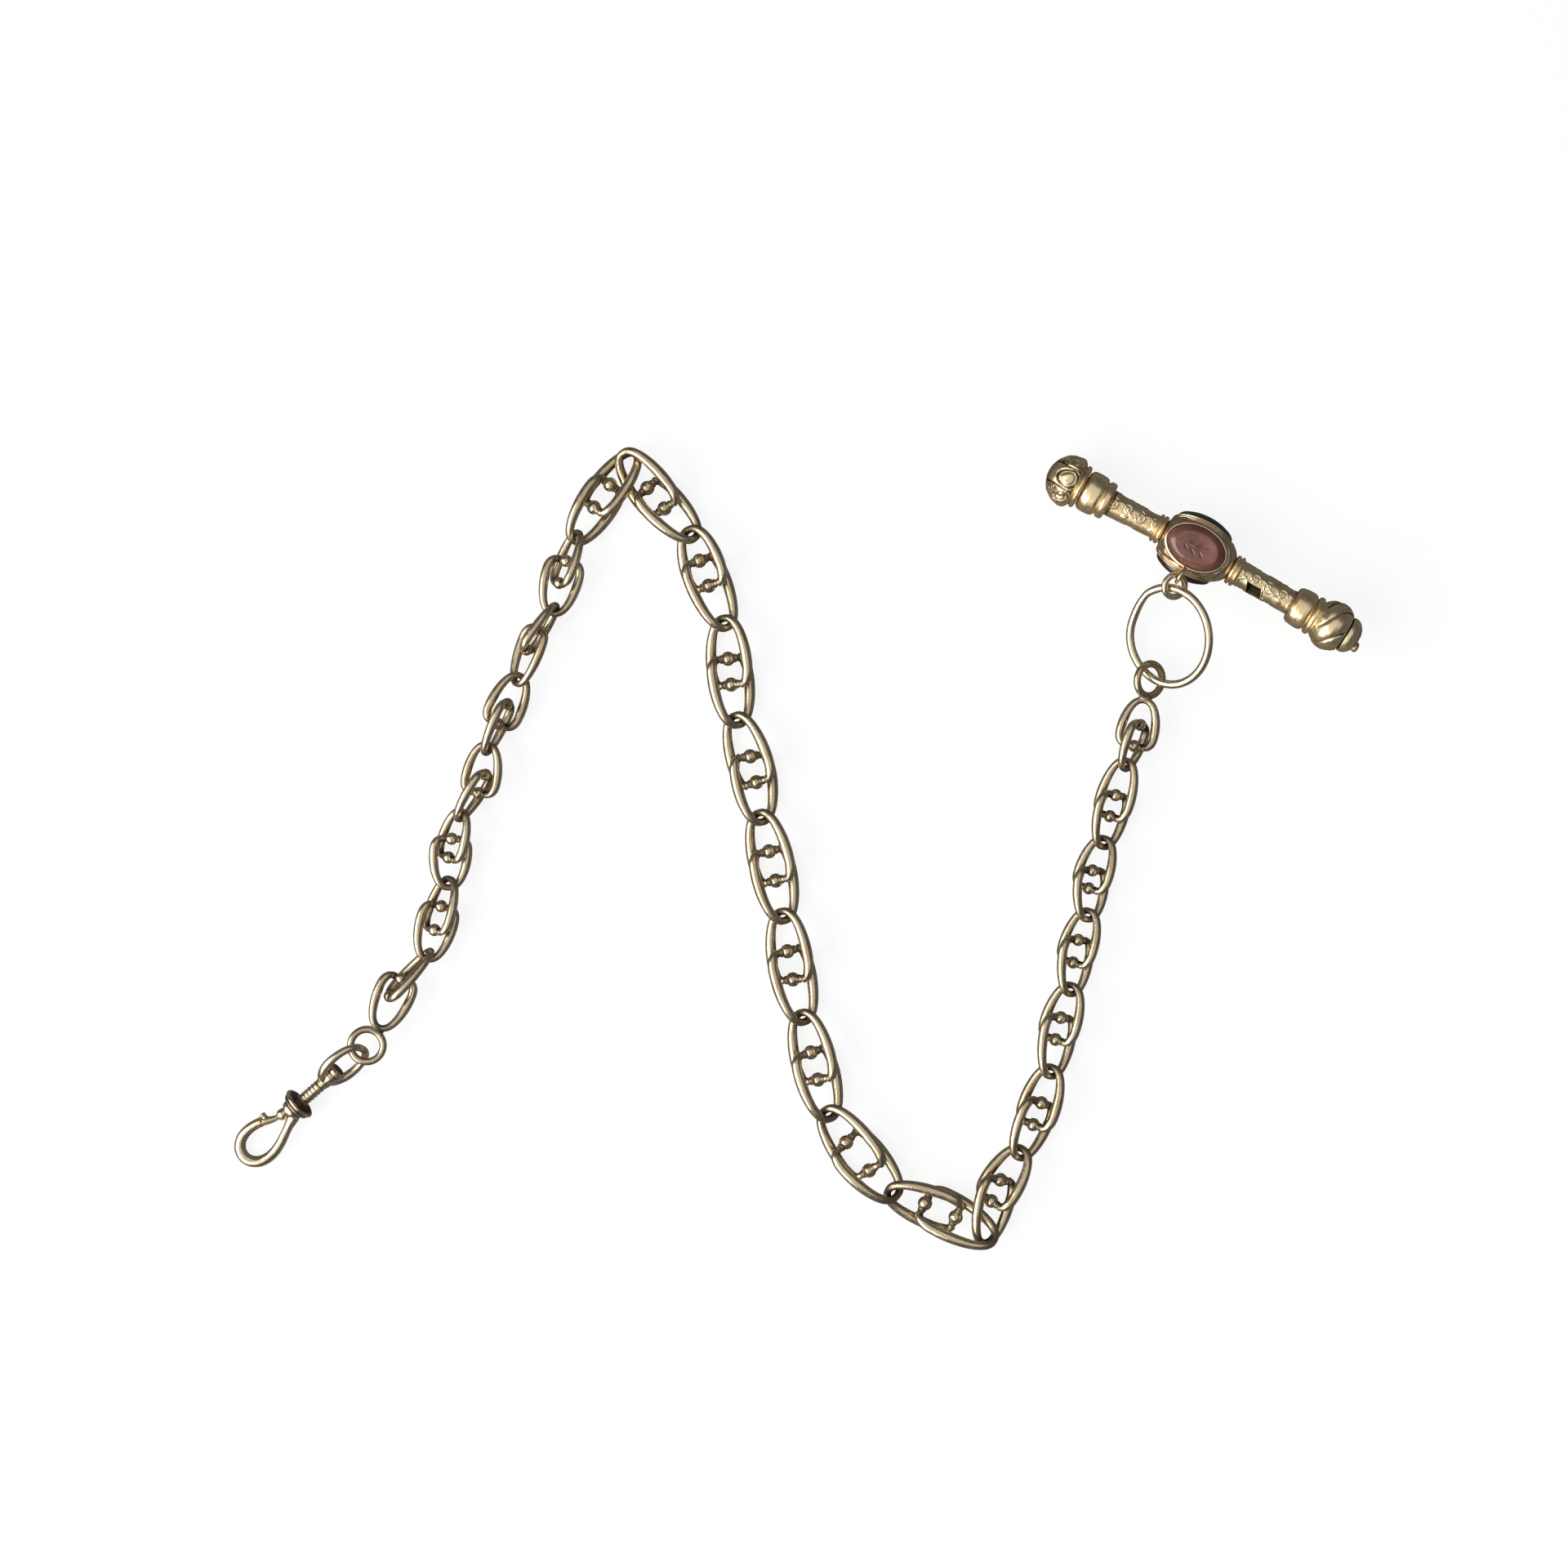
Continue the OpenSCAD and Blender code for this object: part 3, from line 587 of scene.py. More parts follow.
# %% The eye
# x = centre - long cos a, y = half sin a ^ 0.85, thicker towards the collar.
EYE_CENTRE, EYE_LONG, EYE_HALF, EYE_THIN, EYE_THICK = -4.42, 3.62, 2.68, 0.52, 0.64
EYE_STOP = 168
a = np.radians(np.arange(-EYE_STOP, EYE_STOP + 0.1, 3))
eye_path = np.stack([EYE_CENTRE - EYE_LONG * np.cos(a),
                     EYE_HALF * np.sign(a) * np.abs(np.sin(a)) ** 0.85, 0 * a], -1)
eye_r = mix(EYE_THIN, EYE_THICK, np.abs(a) / np.radians(EYE_STOP))
eye_r *= 1 + 0.10 * bump(np.abs(a), 1.9, 0.5)
eye_grid = sweep(eye_path, eye_r, 24)
eye_dirt = 0.35 * inner_side(eye_grid, eye_path, [-4.4, 0, 0], 0.6)
eye_dirt = eye_dirt + 0.4 * bump(np.abs(a), 2.9, 0.5)[:, None]
eye_parts = [
    Shell(eye_grid, np.clip(eye_dirt, 0, 1)).placed(EYE_TURN, CLIP_AT),
    turned([[-2.35, 0.6], [-2.35, 1.25], [-1.7, 1.32], [-1.2, 1.15], [-0.75, 0.95], [-0.6, 1.06],
            [-0.35, 1.06], [-0.22, 0.92], [0, 0.98], [0.2, 0.9], [0.2, 0.62]]
           ).placed(EYE_TURN, CLIP_AT)]
piece("swivel_bow", eye_parts, CLIP, "root", "swivel_eye")

# %% The hook's wire
HOOK_WIRE, PEAR_START, PEAR_LONG, PEAR_HALF, PEAR_Y = 0.85, 7.3, 8.9, 3.1, 0.46
HOOK_END, HOOK_ROUND, PEAR_CENTRE = 74.4, 0.1, [12.4, 0.5, 0]


def pear(degrees, side):
    """The pear's outline: x follows half a cosine, y the half width times sin a times
    sin (a / 2) ^ 0.75, and both arms lift towards the neck by cos (a / 2) ^ 20."""
    t = np.radians(degrees)
    lift = (0.9 if side > 0 else -0.4) * np.cos(t / 2) ** 20
    x = PEAR_START + PEAR_LONG * (1 - np.cos(t)) / 2
    y = PEAR_Y + side * PEAR_HALF * np.sin(t) * np.sin(t / 2) ** 0.75
    return np.stack([x, y + lift, 0 * x], -1)


def pear_r(degrees):
    """Wire radius: thickest at the nose, 0.74 + 0.26 sin^2 (a / 2) of it elsewhere."""
    return HOOK_WIRE * (0.74 + 0.26 * np.sin(np.radians(degrees) / 2) ** 2)


def eased(rows, count, rounds=12):
    """Points and radii from rows [x, y, r]: evenly spread, and then each row moved half way to
    the mean of its two neighbours, a few times over."""
    fine = spread(rows, lambda total: count)
    for _ in range(rounds):
        fine[1:-1] = fine[1:-1] / 2 + (fine[:-2] + fine[2:]) / 4
    return np.column_stack([fine[:, :2], 0 * fine[:, 0]]), fine[:, 2]


out, back = np.arange(40, 180, 3.5), np.linspace(180, HOOK_END, 36)
root_rows = [[6.1, 0.85, 0.8], [6.9, 1.08, 0.84], [7.45, 1.22, 0.78]]
out_rows = np.column_stack([pear(out, 1)[:, :2], pear_r(out)])
back_rows = np.column_stack([pear(back, -1)[:, :2], pear_r(back)])
hook_path, hook_r = eased(np.vstack([root_rows, out_rows, back_rows]), 170)
end_run = np.minimum(np.linalg.norm(hook_path - hook_path[-1], axis=1) / HOOK_ROUND, 1)
hook_r = hook_r * (0.86 + 0.14 * np.sqrt(1 - (1 - end_run) ** 2))
hook_grid = sweep(hook_path, hook_r, 28)
hook_dirt = 0.3 * inner_side(hook_grid, hook_path, PEAR_CENTRE, 0.68)
hook_dirt = hook_dirt + 0.5 * bump(hook_path[:, 0], PEAR_START, 0.9)[:, None]
print("hook wire from %.2f to %.2f mm thick" % (2 * hook_r.min(), 2 * hook_r.max()))

# %% The post, the neck and the slotted ball
HINGE, CHEEK_R, SLOT_FROM = [7.5, -0.45, 0], 0.9, -22.6
RIB_START, RIB_STEP, RIB_HIGH, RIB_LOW = 0.64, 0.62, 0.95, 0.84
neck = [[-3.35, 0.02], [-3.35, 1.1], [-3.1, 1.5], [-2.6, 1.5], [-2.45, 1.2], [-2.45, 0.55],
        [0.28, 0.55], [0.3, 0.86]]
for rib in range(5):
    x = RIB_START + RIB_STEP * rib
    neck += [[x - 0.08, RIB_HIGH], [x + 0.08, RIB_HIGH], [x + 0.24, RIB_LOW], [x + 0.36, RIB_LOW]]
neck += [[3.6, 0.95], [4.0, 1.35], [4.26, 1.5], [4.28, 2.35], [4.43, 2.5], [4.68, 2.5],
         [4.83, 2.3], [4.84, 1.5], [4.98, 1.5], [5.0, 2.1], [5.18, 2.25], [5.36, 2.1],
         [5.4, 1.5], [5.8, 1.6], [6.3, 1.55], [6.6, 1.25], [6.68, 0.8], [6.93, 0.7], [6.94, 0.02]]
clip_parts = [turned(neck, 84), Shell(hook_grid, hook_dirt)]
s = np.radians(np.linspace(-89, SLOT_FROM, 18))
cheek = lathe(np.stack([CHEEK_R * np.sin(s), CHEEK_R * np.cos(s)], -1), 32)
pin = lathe(np.array([[-0.62, 0.03], [-0.62, 0.2], [0.62, 0.2], [0.62, 0.03]]), 20)
for side, grid in ((1, cheek), (-1, cheek), (1, pin)):
    ball_dirt = 0.15 if grid is cheek else 0.6
    clip_parts.append(Shell(grid, ball_dirt).placed(turn("y", 90 * side), HINGE))
for part in clip_parts:
    part.placed(CLIP_TURN, CLIP_AT)
piece("hook_and_neck", clip_parts, CLIP, "clip", "clip_body")

# %% The gate
# A bowed lever: hinge (1 - t)^2 + bow 2 t (1 - t) + tip t^2, thicker towards its tip.
GATE_END, GATE_BOW, TONGUE_R, GATE_THIN, GATE_THICK = 72.9, [8.9, -0.5, 0], 0.2, 0.36, 0.66
tip = pear(np.array([GATE_END]), -1)[0]
t = np.r_[np.linspace(0.1, 0.97, 30), 0.985, 0.995, 1.0][:, None]
gate_path = np.array(HINGE) * (1 - t) ** 2 + np.array(GATE_BOW) * 2 * t * (1 - t) + tip * t * t
thick = mix(GATE_THIN, GATE_THICK, np.clip((t - 0.25) / 0.7, 0, 1))
gate_r = np.where(t < 0.25, TONGUE_R, thick)[:, 0]
gate_r = np.convolve(np.pad(gate_r, 2, "edge"), np.ones(5) / 5, "valid")
gate_r[-3:] *= [1, 0.96, 0.86]
disc = np.array([[-0.25, 0.21], [-0.25, 0.42], [-0.2, 0.46], [0.2, 0.46], [0.25, 0.42],
                 [0.25, 0.21]])
nib = resample([[0, 0.5], [0.35, 0.42], [0.6, 0.5], [0.78, 0.46], [0.86, 0.3], [0.88, 0.02]],
               0.05, 0.04)
gate_parts = [
    Shell(sweep(gate_path, gate_r, 24), 0.35 - 0.3 * t),
    Shell(lathe(disc, 32), 0.5).placed(turn("y", 90), HINGE),
    Shell(lathe(nib, 28), 0.15).placed(turn("z", -90), [tip[0] - 0.55, tip[1] - 0.1, 0])]
for part in gate_parts:
    part.placed(CLIP_TURN, CLIP_AT)
piece("gate_lever", gate_parts, CLIP, "gate", "clip_gate")

# %% [markdown]
# ## The large ring and the jump ring
# The large ring was sprung open more than once: its left side is pulled straight and it has a
# kink just below its overlap. A torus primitive would be too perfect, so the ring's radius is a
# function of the angle with a shallow dip.

# %% Rings
RING_HALF, RING_WIRE, RING_AT = [6.4, 7.1, 1.0], 0.60, [53.9, 31.25, 5.03]
JUMP_R, JUMP_WIRE, JUMP_AT = 1.62, 0.46, [54.47, 38.4, 6.95]
STRAIGHT, KINK, THINNED, SEAM = np.radians([148, 117, 122, 113])
a = np.radians(np.arange(0, 360, 2.5))
pull = 1 - 0.055 * bump(a, STRAIGHT, 0.42) + 0.012 * bump(a, KINK, 0.13)
ring_path = circle(1.0, a) * pull[:, None] * RING_HALF
ring_r = RING_WIRE * (1 - 0.12 * bump(a, THINNED, 0.25))
ring_grid = sweep(ring_path, ring_r, 28, closed=True)
ring_dirt = 0.22 * inner_side(ring_grid, ring_path, [0, 0, 0], 0.6)
ring_dirt = ring_dirt + 0.45 * bump(a, SEAM, 0.16)[:, None]
large_ring = Shell(ring_grid, ring_dirt, closed=True)
large_ring.placed(chain_of(turn("y", -35), turn("x", 10.3)), RING_AT)
piece("large_ring", [large_ring], RING, "root", "split_ring")


def torus(big, small, rows, sides, grime_and_shade):
    """Circle of radius small carried round a circle of radius big."""
    path = circle(big, np.radians(360 * np.arange(rows) / rows))
    return Shell(sweep(path, small, sides, closed=True), grime_and_shade, closed=True)


jump = torus(JUMP_R, JUMP_WIRE, 96, 24, 0.15)
jump.placed(chain_of(turn("y", 19.9), turn("x", 15)), JUMP_AT)
piece("small_ring", [jump], RING, "root", "jump_ring")

# %% [markdown]
# ## The toggle bar
# Each half of the bar is a turned tube of thin sheet with chased ornament: foliage on a matted
# ground along the tubes, a cartouche among scrolls on the left end, twisted lobes on the right
# ball. A bump map alone would leave the outline smooth, so the ornament is a height added to the
# radius of the lathe grid, and the same height says where the dark ground is.

# %% The bar's place
BAR_AT, BAR_PITCH, BAR_EDGE = np.array([58.06, 43.89, 4.75]), 2.2, 0.06
LEFT_HEADING, RIGHT_HEADING, SEAL_HEADING, SEAL_ROLL = 151.6, -30.0, -28.8, 6
LEFT_TURN = chain_of(turn("z", LEFT_HEADING), turn("y", BAR_PITCH))
RIGHT_TURN = chain_of(turn("z", RIGHT_HEADING), turn("y", -BAR_PITCH))
SEAL_TURN = chain_of(turn("z", SEAL_HEADING), turn("y", -BAR_PITCH), turn("x", SEAL_ROLL))


def chased(rows, place, columns, relief):
    """A turned shell with a relief(x, arc, angle) in mm, where the angle is 0 at the top and the
    arc is the angle times the radius; low places turn dark."""
    profile = resample(rows, BAR_EDGE, BAR_EDGE)
    angle = np.radians(360 * np.arange(columns) / columns)
    x, q = np.meshgrid(profile[:, 0], angle, indexing="ij")
    top = (q - np.pi / 2 + np.pi) % (2 * np.pi) - np.pi
    height, dark = relief(x, top * profile[:, 1][:, None], top)
    grime_and_shade = np.clip(cavity(profile) + dark, 0, 1)
    return Shell(lathe(profile, columns, height), grime_and_shade).placed(place, BAR_AT)


# %% Scrolls and foliage
def curl(u, w, size, hand):
    """A scroll: the ridge of a spiral r = size (1 - angle / 3.4 pi), as a height from 0 to 1."""
    r, q = np.hypot(u, w), np.arctan2(w * hand, u) % (2 * np.pi)
    lines = [bump(r, size * (1 - (q + 2 * np.pi * k) / (3.4 * np.pi)), 0.11) for k in (0, 1)]
    return np.maximum(lines[0], lines[1] * (r < size))


def vine(u, w, span):
    """Foliage along u: a waving stem with a scroll in each bay and a leaf beside each scroll."""
    stem = bump(w, 0.55 * np.sin(2 * np.pi * u / span), 0.15)
    bay = (u + span / 4) % (span / 2) - span / 4
    up = np.where(np.floor((u + span / 4) / (span / 2)) % 2 < 1, 1.0, -1.0)
    scroll = curl(bay, (w - 0.1 * up) * up, 0.85, 1.0)
    leaf_u, leaf_w = bay * 0.8 - (w * up + 1.15) * 0.6, bay * 0.6 + (w * up + 1.15) * 0.8
    leaf = smooth(0.05, 0.3, 0.42 - np.hypot(leaf_u / 1.9, leaf_w))
    vein = 1 - 0.6 * bump(leaf_w, 0, 0.06)
    return np.clip(np.maximum(np.maximum(stem, scroll), leaf * vein), 0, 1)


# %% Tubes
HOLE_X, HOLE_TOP, HOLE_LONG, HOLE_WIDE, HOLE_DEEP = 10.0, 0.9, 0.95, 0.42, 0.95


def tube_relief(first, last, hole):
    """The relief of a tube chased from first to last: foliage 0.1 mm above a ground sunk by
    0.06 mm, and on one tube a torn hole, a slanted box of near walls with a raised lip, its walls
    and floor painted dark up to black as painted shade."""
    def relief(x, arc, top):
        inside = smooth(first, first + 0.25, x) * smooth(-last, 0.25 - last, -x)
        bays = (arc + 1.75) % 3.5 - 1.75
        ridge = vine(x - first, bays, 4.4)
        height = inside * (0.10 * ridge - 0.06)
        dark = inside * (0.46 - 0.46 * ridge)
        if hole:
            u = top - HOLE_TOP
            edge = np.maximum(np.abs(x - HOLE_X - 0.6 * u) / HOLE_LONG, np.abs(u) / HOLE_WIDE)
            pit = smooth(1.12, 0.9, edge)
            height = height * (1 - pit) - HOLE_DEEP * pit + 0.09 * bump(edge, 1.3, 0.14)
            # painted shade: the whole hole, walls included, is made dark, up to near black in the
            # finish
            shade = smooth(1.3, 1.14, edge)
            dark = dark * (1 - shade) + 1.6 * shade
        return height, dark
    return relief


left_rows = [[5.62, 0.05], [5.62, 1.9], [5.7, 2.1], [5.95, 2.18], [6.2, 2.1], [6.32, 1.82],
             [6.44, 2.1], [6.62, 2.2], [6.8, 2.08], [6.95, 1.74], [10.5, 1.82], [14.4, 1.94],
             [14.46, 2.55], [14.65, 2.78], [15.2, 2.84], [15.5, 2.74], [15.58, 2.52],
             [15.8, 2.52], [15.95, 2.88], [16.4, 3.04], [17.4, 3.1], [18.2, 3.02], [18.5, 2.85],
             [18.6, 2.6], [18.75, 2.55], [18.75, 1.9], [18.79, 1.9], [18.79, 0.05]]
right_rows = [[5.64, 0.05], [5.64, 1.95], [5.72, 2.2], [5.97, 2.28], [6.2, 2.2], [6.32, 1.86],
              [6.44, 2.24], [6.62, 2.34], [6.8, 2.22], [7.0, 1.92], [11.5, 1.88], [15.7, 1.84],
              [15.8, 2.45], [16.2, 2.75], [17.0, 2.88], [17.8, 2.92], [18.3, 2.86], [18.6, 2.7],
              [18.7, 2.5], [18.85, 2.45], [18.85, 1.9], [18.89, 1.9], [18.89, 0.05]]
piece("left_tube", [chased(left_rows, LEFT_TURN, 180, tube_relief(7.2, 14.2, False))],
      TOGGLE, "root", "tube_left")
piece("right_tube", [chased(right_rows, RIGHT_TURN, 180, tube_relief(7.2, 15.4, True))],
      TOGGLE, "root", "tube_right")


# %% The left end: a cartouche among scrolls
CARTOUCHE_X = 21.4


def dome_relief(x, arc, top):
    """Engraved lines on a polished dome: the outline of a D-shaped cartouche, scrolls and short
    strokes on both sides of it, and a slow swell that breaks up the reflections."""
    u, w = x - CARTOUCHE_X, arc + 0.25
    inside = smooth(19.8, 20.05, x) * smooth(-24.1, -23.7, -x)
    reach_out = np.hypot(u / 1.55, w / (1.25 + 0.25 * smooth(0.6, -0.6, u)))
    outline = bump(reach_out, 1.0, 0.115)
    inner = 0.4 * bump(reach_out, 0.66, 0.09)
    bands = np.maximum(bump(w, 1.75 + 0.12 * u, 0.14), bump(w, -1.7 + 0.1 * u, 0.14))
    side, outside = np.abs(w), smooth(1.0, 1.15, reach_out)
    scrolls = np.maximum(curl(u + 0.1, side - 3.0, 1.1, 1.0), curl(u - 1.5, side - 2.3, 0.6, -1.0))
    scrolls = np.maximum(scrolls, curl(u + 1.2, side - 2.2, 0.5, 1.0))
    fans = smooth(0.72, 0.95, 0.5 + 0.5 * np.cos(side * 4.2 + 2.6 * u)) * smooth(3.6, 4.4, side)
    lines = np.maximum(np.maximum(outline, inner), outside * np.maximum(bands, 0.8 * scrolls))
    lines = np.clip(np.maximum(lines, 0.7 * fans), 0, 1)
    swell = np.sin(2.9 * u + 1.4 * np.sin(1.9 * w)) * np.sin(2.3 * w + 0.8)
    return inside * (0.07 * swell - 0.2 * lines), inside * 1.1 * lines


finial_rows = [[18.8, 0.05], [18.8, 2.6], [18.9, 3.1], [19.1, 3.3], [19.45, 3.3], [19.58, 3.0],
               [19.7, 3.1], [19.85, 3.42], [20.2, 3.72], [20.7, 3.88], [21.3, 3.85], [22.0, 3.66],
               [22.7, 3.3], [23.3, 2.8], [23.8, 2.15], [24.15, 1.45], [24.35, 0.8], [24.42, 0.05]]
piece("left_finial", [chased(finial_rows, LEFT_TURN, 240, dome_relief)],
      TOGGLE, "root", "finial_left")


# %% The right end: a ball of twisted lobes
BALL_X, GROOVE_X, KNOB_SHIFT = 22.5, 24.58, -1.0


def ball_relief(x, arc, top):
    """Five bowed petals, |sin 2.5 swirl| with a thin dark line between two; the petals on the
    far side carry fine foliage, and a small beading runs round the ball's foot and its cap."""
    inside = smooth(20.1, 20.7, x) * smooth(-24.5, -24.1, -x)
    swirl = top + 0.42 * (x - BALL_X) - 0.05 * (x - BALL_X) ** 2
    petal = np.abs(np.sin(2.5 * swirl + 1.25))
    line = bump(petal, 0, 0.2)
    far = smooth(0.25, 0.6, -top) * smooth(-2.4, -1.8, top)
    leaf = 0.5 + 0.5 * np.cos(9 * swirl + 2.4 * np.sin(2.6 * x + 3 * top))
    cuts = far * smooth(0.75, 0.98, leaf)
    beads = bump(x, 20.3, 0.22) * (0.5 + 0.5 * np.cos(20 * top))
    height = inside * (0.16 * petal ** 0.6 - 0.12 - 0.12 * line - 0.09 * cuts) + 0.06 * beads
    groove = bump(x, GROOVE_X, 0.14)
    return height, inside * (line + 0.7 * cuts) + 0.9 * groove


ball_rows = [[18.9, 0.05], [18.9, 2.5], [19.0, 2.8], [19.25, 2.95], [19.6, 2.95], [19.8, 2.75],
             [19.92, 2.5], [20.15, 2.7], [20.5, 3.05], [21.1, 3.44], [21.8, 3.66], [22.5, 3.72],
             [23.3, 3.58], [24.0, 3.22], [24.45, 2.85], [24.58, 2.42], [24.72, 2.68],
             [25.3, 2.68], [25.8, 2.45], [26.2, 2.05], [26.5, 1.6], [26.7, 1.0], [26.75, 0.05]]
knob_rows = resample([[25.6, 0.05], [25.6, 0.75], [26.55, 0.66], [26.75, 0.8], [27.05, 0.75],
                      [27.25, 0.5], [27.32, 0.05]], 0.05, 0.04)
knob = Shell(lathe(knob_rows, 48), 0.75).placed(np.eye(3), [0, KNOB_SHIFT, 0])
piece("right_finial", [chased(ball_rows, RIGHT_TURN, 240, ball_relief),
                       knob.placed(RIGHT_TURN, BAR_AT)],
      TOGGLE, "root", "finial_right")

# %% [markdown]
# ## The stone setting
# The middle of the bar is a rounded three-sided body with an oval bezel on each side. The body
# is one grid whose section changes from round to triangular. Each bezel is a stack of ovals:
# up its grooved outer wall, over the rim and down into the pocket.

# %% Body of the setting
# The section's radius is a mix of a round one and a rounded triangle, side + (corner - side)
# (1 - ((1 + cos 3q) / 2) ^ 0.75), and the share of the triangle grows towards the middle.
SEAL_SIDE, SEAL_CORNER, SEAL_LONG, SEAL_SHIFT = 2.55, 3.75, 5.5, -0.4
EYELET_R, EYELET_WIRE, EYELET_AT = 1.15, 0.28, [-0.46, -4.49, 2.9]
STONE_HALF, STONE_THICK, STONE_LOW = [4.35, 2.9], 1.9, SEAL_SIDE + 0.05
x = np.linspace(-SEAL_LONG, SEAL_LONG, 70)
knots = [-SEAL_LONG, -5.0, -4.2, -2.5, 2.5, 4.2, 5.0, SEAL_LONG]
round_r = np.interp(x, knots, [1.9, 2.5, 2.9, 3, 3, 2.9, 2.5, 1.9])[:, None]
share = smooth(0, 1, np.interp(x, knots, [0, 0.1, 0.55, 1, 1, 0.55, 0.1, 0]))[:, None]
q = np.radians(np.arange(0, 360, 3.0))[None]
three = mix(SEAL_CORNER, SEAL_SIDE, ((1 + np.cos(3 * (q - np.pi / 2))) / 2) ** 0.75)
r = mix(round_r, three, share)
x = x[:, None] + 0 * q
body = Shell(np.stack([x, r * np.cos(q), r * np.sin(q)], -1), 0.35)


# %% Bezels and eyelet
def ovals(rows, columns=120, relief=None):
    """Grid of ovals [grow x, grow y, z]: ((half x + grow x) cos a, (half y + grow y) sin a, z)."""
    rows = np.array(rows, float)
    a = np.radians(360 * np.arange(columns) / columns)
    u = (STONE_HALF[0] + rows[:, :1]) * np.cos(a)
    v = (STONE_HALF[1] + rows[:, 1:2]) * np.sin(a)
    z = rows[:, 2:] + 0 * a
    return np.stack([u, v, z if relief is None else z + relief(u, v)], -1)


HIDDEN_LOWER, POCKET_FLOOR = 0.2, 2.58
wall = resample([[0.25, 0.6], [0.42, 2.45], [0.54, 2.55], [0.60, 2.66], [0.54, 2.77], [0.42, 2.82],
                 [0.42, 2.86], [0.50, 2.93], [0.55, 3.02], [0.48, 3.12], [0.36, 3.2],
                 [0.22, 3.25], [0.10, 3.22], [0.03, 3.1], [0.03, 2.58]], 0.045, 0.022)
wall_dirt = 0.1 + 0.75 * bump(wall[:, 1], 2.84, 0.08) + 0.5 * smooth(2.5, 1.6, wall[:, 1])
core = lathe(np.array([[-5.6, 0.05], [-5.6, 1.7], [5.6, 1.7], [5.6, 0.05]]), 48)
seal_parts = [body, Shell(core, 0.8)]
for k in range(3):
    low = wall[:, 1] - (HIDDEN_LOWER if k else 0) * smooth(1.2, 2.1, wall[:, 1])
    low[-1] = POCKET_FLOOR
    bezel = Shell(ovals(np.column_stack([wall[:, 0], wall[:, 0], low])), wall_dirt[:, None])
    seal_parts.append(bezel.placed(turn("x", 120 * k), [SEAL_SHIFT, 0, 0]))
eyelet = torus(EYELET_R, EYELET_WIRE, 60, 16, 0.5)
seal_parts.append(eyelet.placed(turn("y", 90), EYELET_AT))
for part in seal_parts:
    part.placed(SEAL_TURN, BAR_AT)
piece("stone_setting", seal_parts, MOUNT, "root", "seal_setting")


# %% [markdown]
# ### Stones
# The stones are flat oval agates with a wide bevel, polished but scuffed, and cut with a small
# sunk ornament, here a plain leaf sprig. The table is a stack of shrinking ovals, so the sprig
# can be sunk into real geometry.

# %% Stone finishes
def agate(name, light, dark, speck, scale, speck_low, shine):
    """Cloudy bands mix the dark and the light colour, small specks lie above speck_low, and dirt
    in the cut dulls the coat and the gloss."""
    r = Recipe(name, {"IOR": 1.54, "Coat Roughness": 0.08})
    place = r.add("TexCoord", out="Object")
    bands = r.noise(scale, 5, 0.6, place)
    grain = r.noise(scale * 7, 3, 0.6, place)
    colour = r.blend(dark, light, r.between(bands, 0.35, 0.68))
    colour = r.blend(colour, speck, r.between(grain, speck_low, speck_low + 0.1) * 0.6)
    grime_and_shade = r.add("Attribute", {"attribute_name": "grime_and_shade"}, out="Fac")
    colour = r.blend(colour, dark, grime_and_shade * 0.8)
    rough = shine + r.between(grain, 0.4, 0.7) * 0.12 + grime_and_shade * 0.35
    return r.done(Base_Color=colour, Roughness=rough, Coat_Weight=0.35 - grime_and_shade * 0.3,
                  Normal=r.dents(grain, 0.12, 0.00003))


STONES = {
    "carnelian": agate("carnelian", rgb(152, 99, 88), rgb(114, 70, 62), rgb(84, 46, 43),
                       300, 0.64, 0.16),
    "onyx": agate("black agate", rgb(50, 46, 44), rgb(30, 28, 28), rgb(70, 64, 60),
                  300, 0.70, 0.14),
    "bloodstone": agate("bloodstone", rgb(62, 78, 66), rgb(38, 50, 44), rgb(84, 60, 50),
                        500, 0.66, 0.14)}
print("stones, from the top one round:", list(STONES))


# %% Cutting the stones
BOW, STEM_LOW, LEAF_FIRST, LEAF_STEP, LEAF_OUT, LEAF_TURN = 0.12, -0.25, -1.5, 0.62, 0.55, 0.65
BEVEL, CUT_DEEP = [1.15, 0.84], 0.10


def sprig(u, v):
    """Depth of a leaf sprig from 0 to 1: a stem along v = bow u^2 + low, and lens-shaped leaves
    on both sides of it in turn, each a smooth step of its distance in two unequal halves."""
    stem = bump(v, BOW * u * u + STEM_LOW, 0.09) * (np.abs(u) < 2.3)
    depth = 0.6 * stem
    for k in range(6):
        side, cu = 1 if k % 2 else -1, LEAF_FIRST + LEAF_STEP * k
        cv = side * LEAF_OUT + BOW * cu ** 2 + STEM_LOW
        c, s = np.cos(LEAF_TURN * side), np.sin(LEAF_TURN * side)
        lu, lv = (u - cu) * c + (v - cv) * s, -(u - cu) * s + (v - cv) * c
        depth = np.maximum(depth, smooth(1.1, 0.3, np.hypot(lu / 0.62, lv / 0.24)))
    return depth


top = STONE_LOW + STONE_THICK
edge = [[-0.1, -0.1, STONE_LOW], [0, 0, STONE_LOW + 0.3], [0, 0, top - 0.80],
        [-0.02, -0.02, top - 0.72], [-0.10, -0.08, top - 0.60], [-0.55, -0.42, top - 0.30],
        [-0.98, -0.72, top - 0.05], [-1.06, -0.78, top - 0.015], [-BEVEL[0], -BEVEL[1], top]]
grow = np.linspace(0.98, 0.01, 46)[:, None]
table = np.hstack([(STONE_HALF[0] - BEVEL[0]) * grow - STONE_HALF[0],
                   (STONE_HALF[1] - BEVEL[1]) * grow - STONE_HALF[1], top + 0 * grow])
stone_rows = np.vstack([edge, table])
on_table = (np.arange(len(stone_rows)) >= len(edge))[:, None]
stone_grid = ovals(stone_rows, 132, lambda u, v: -CUT_DEEP * sprig(u, v) * on_table)
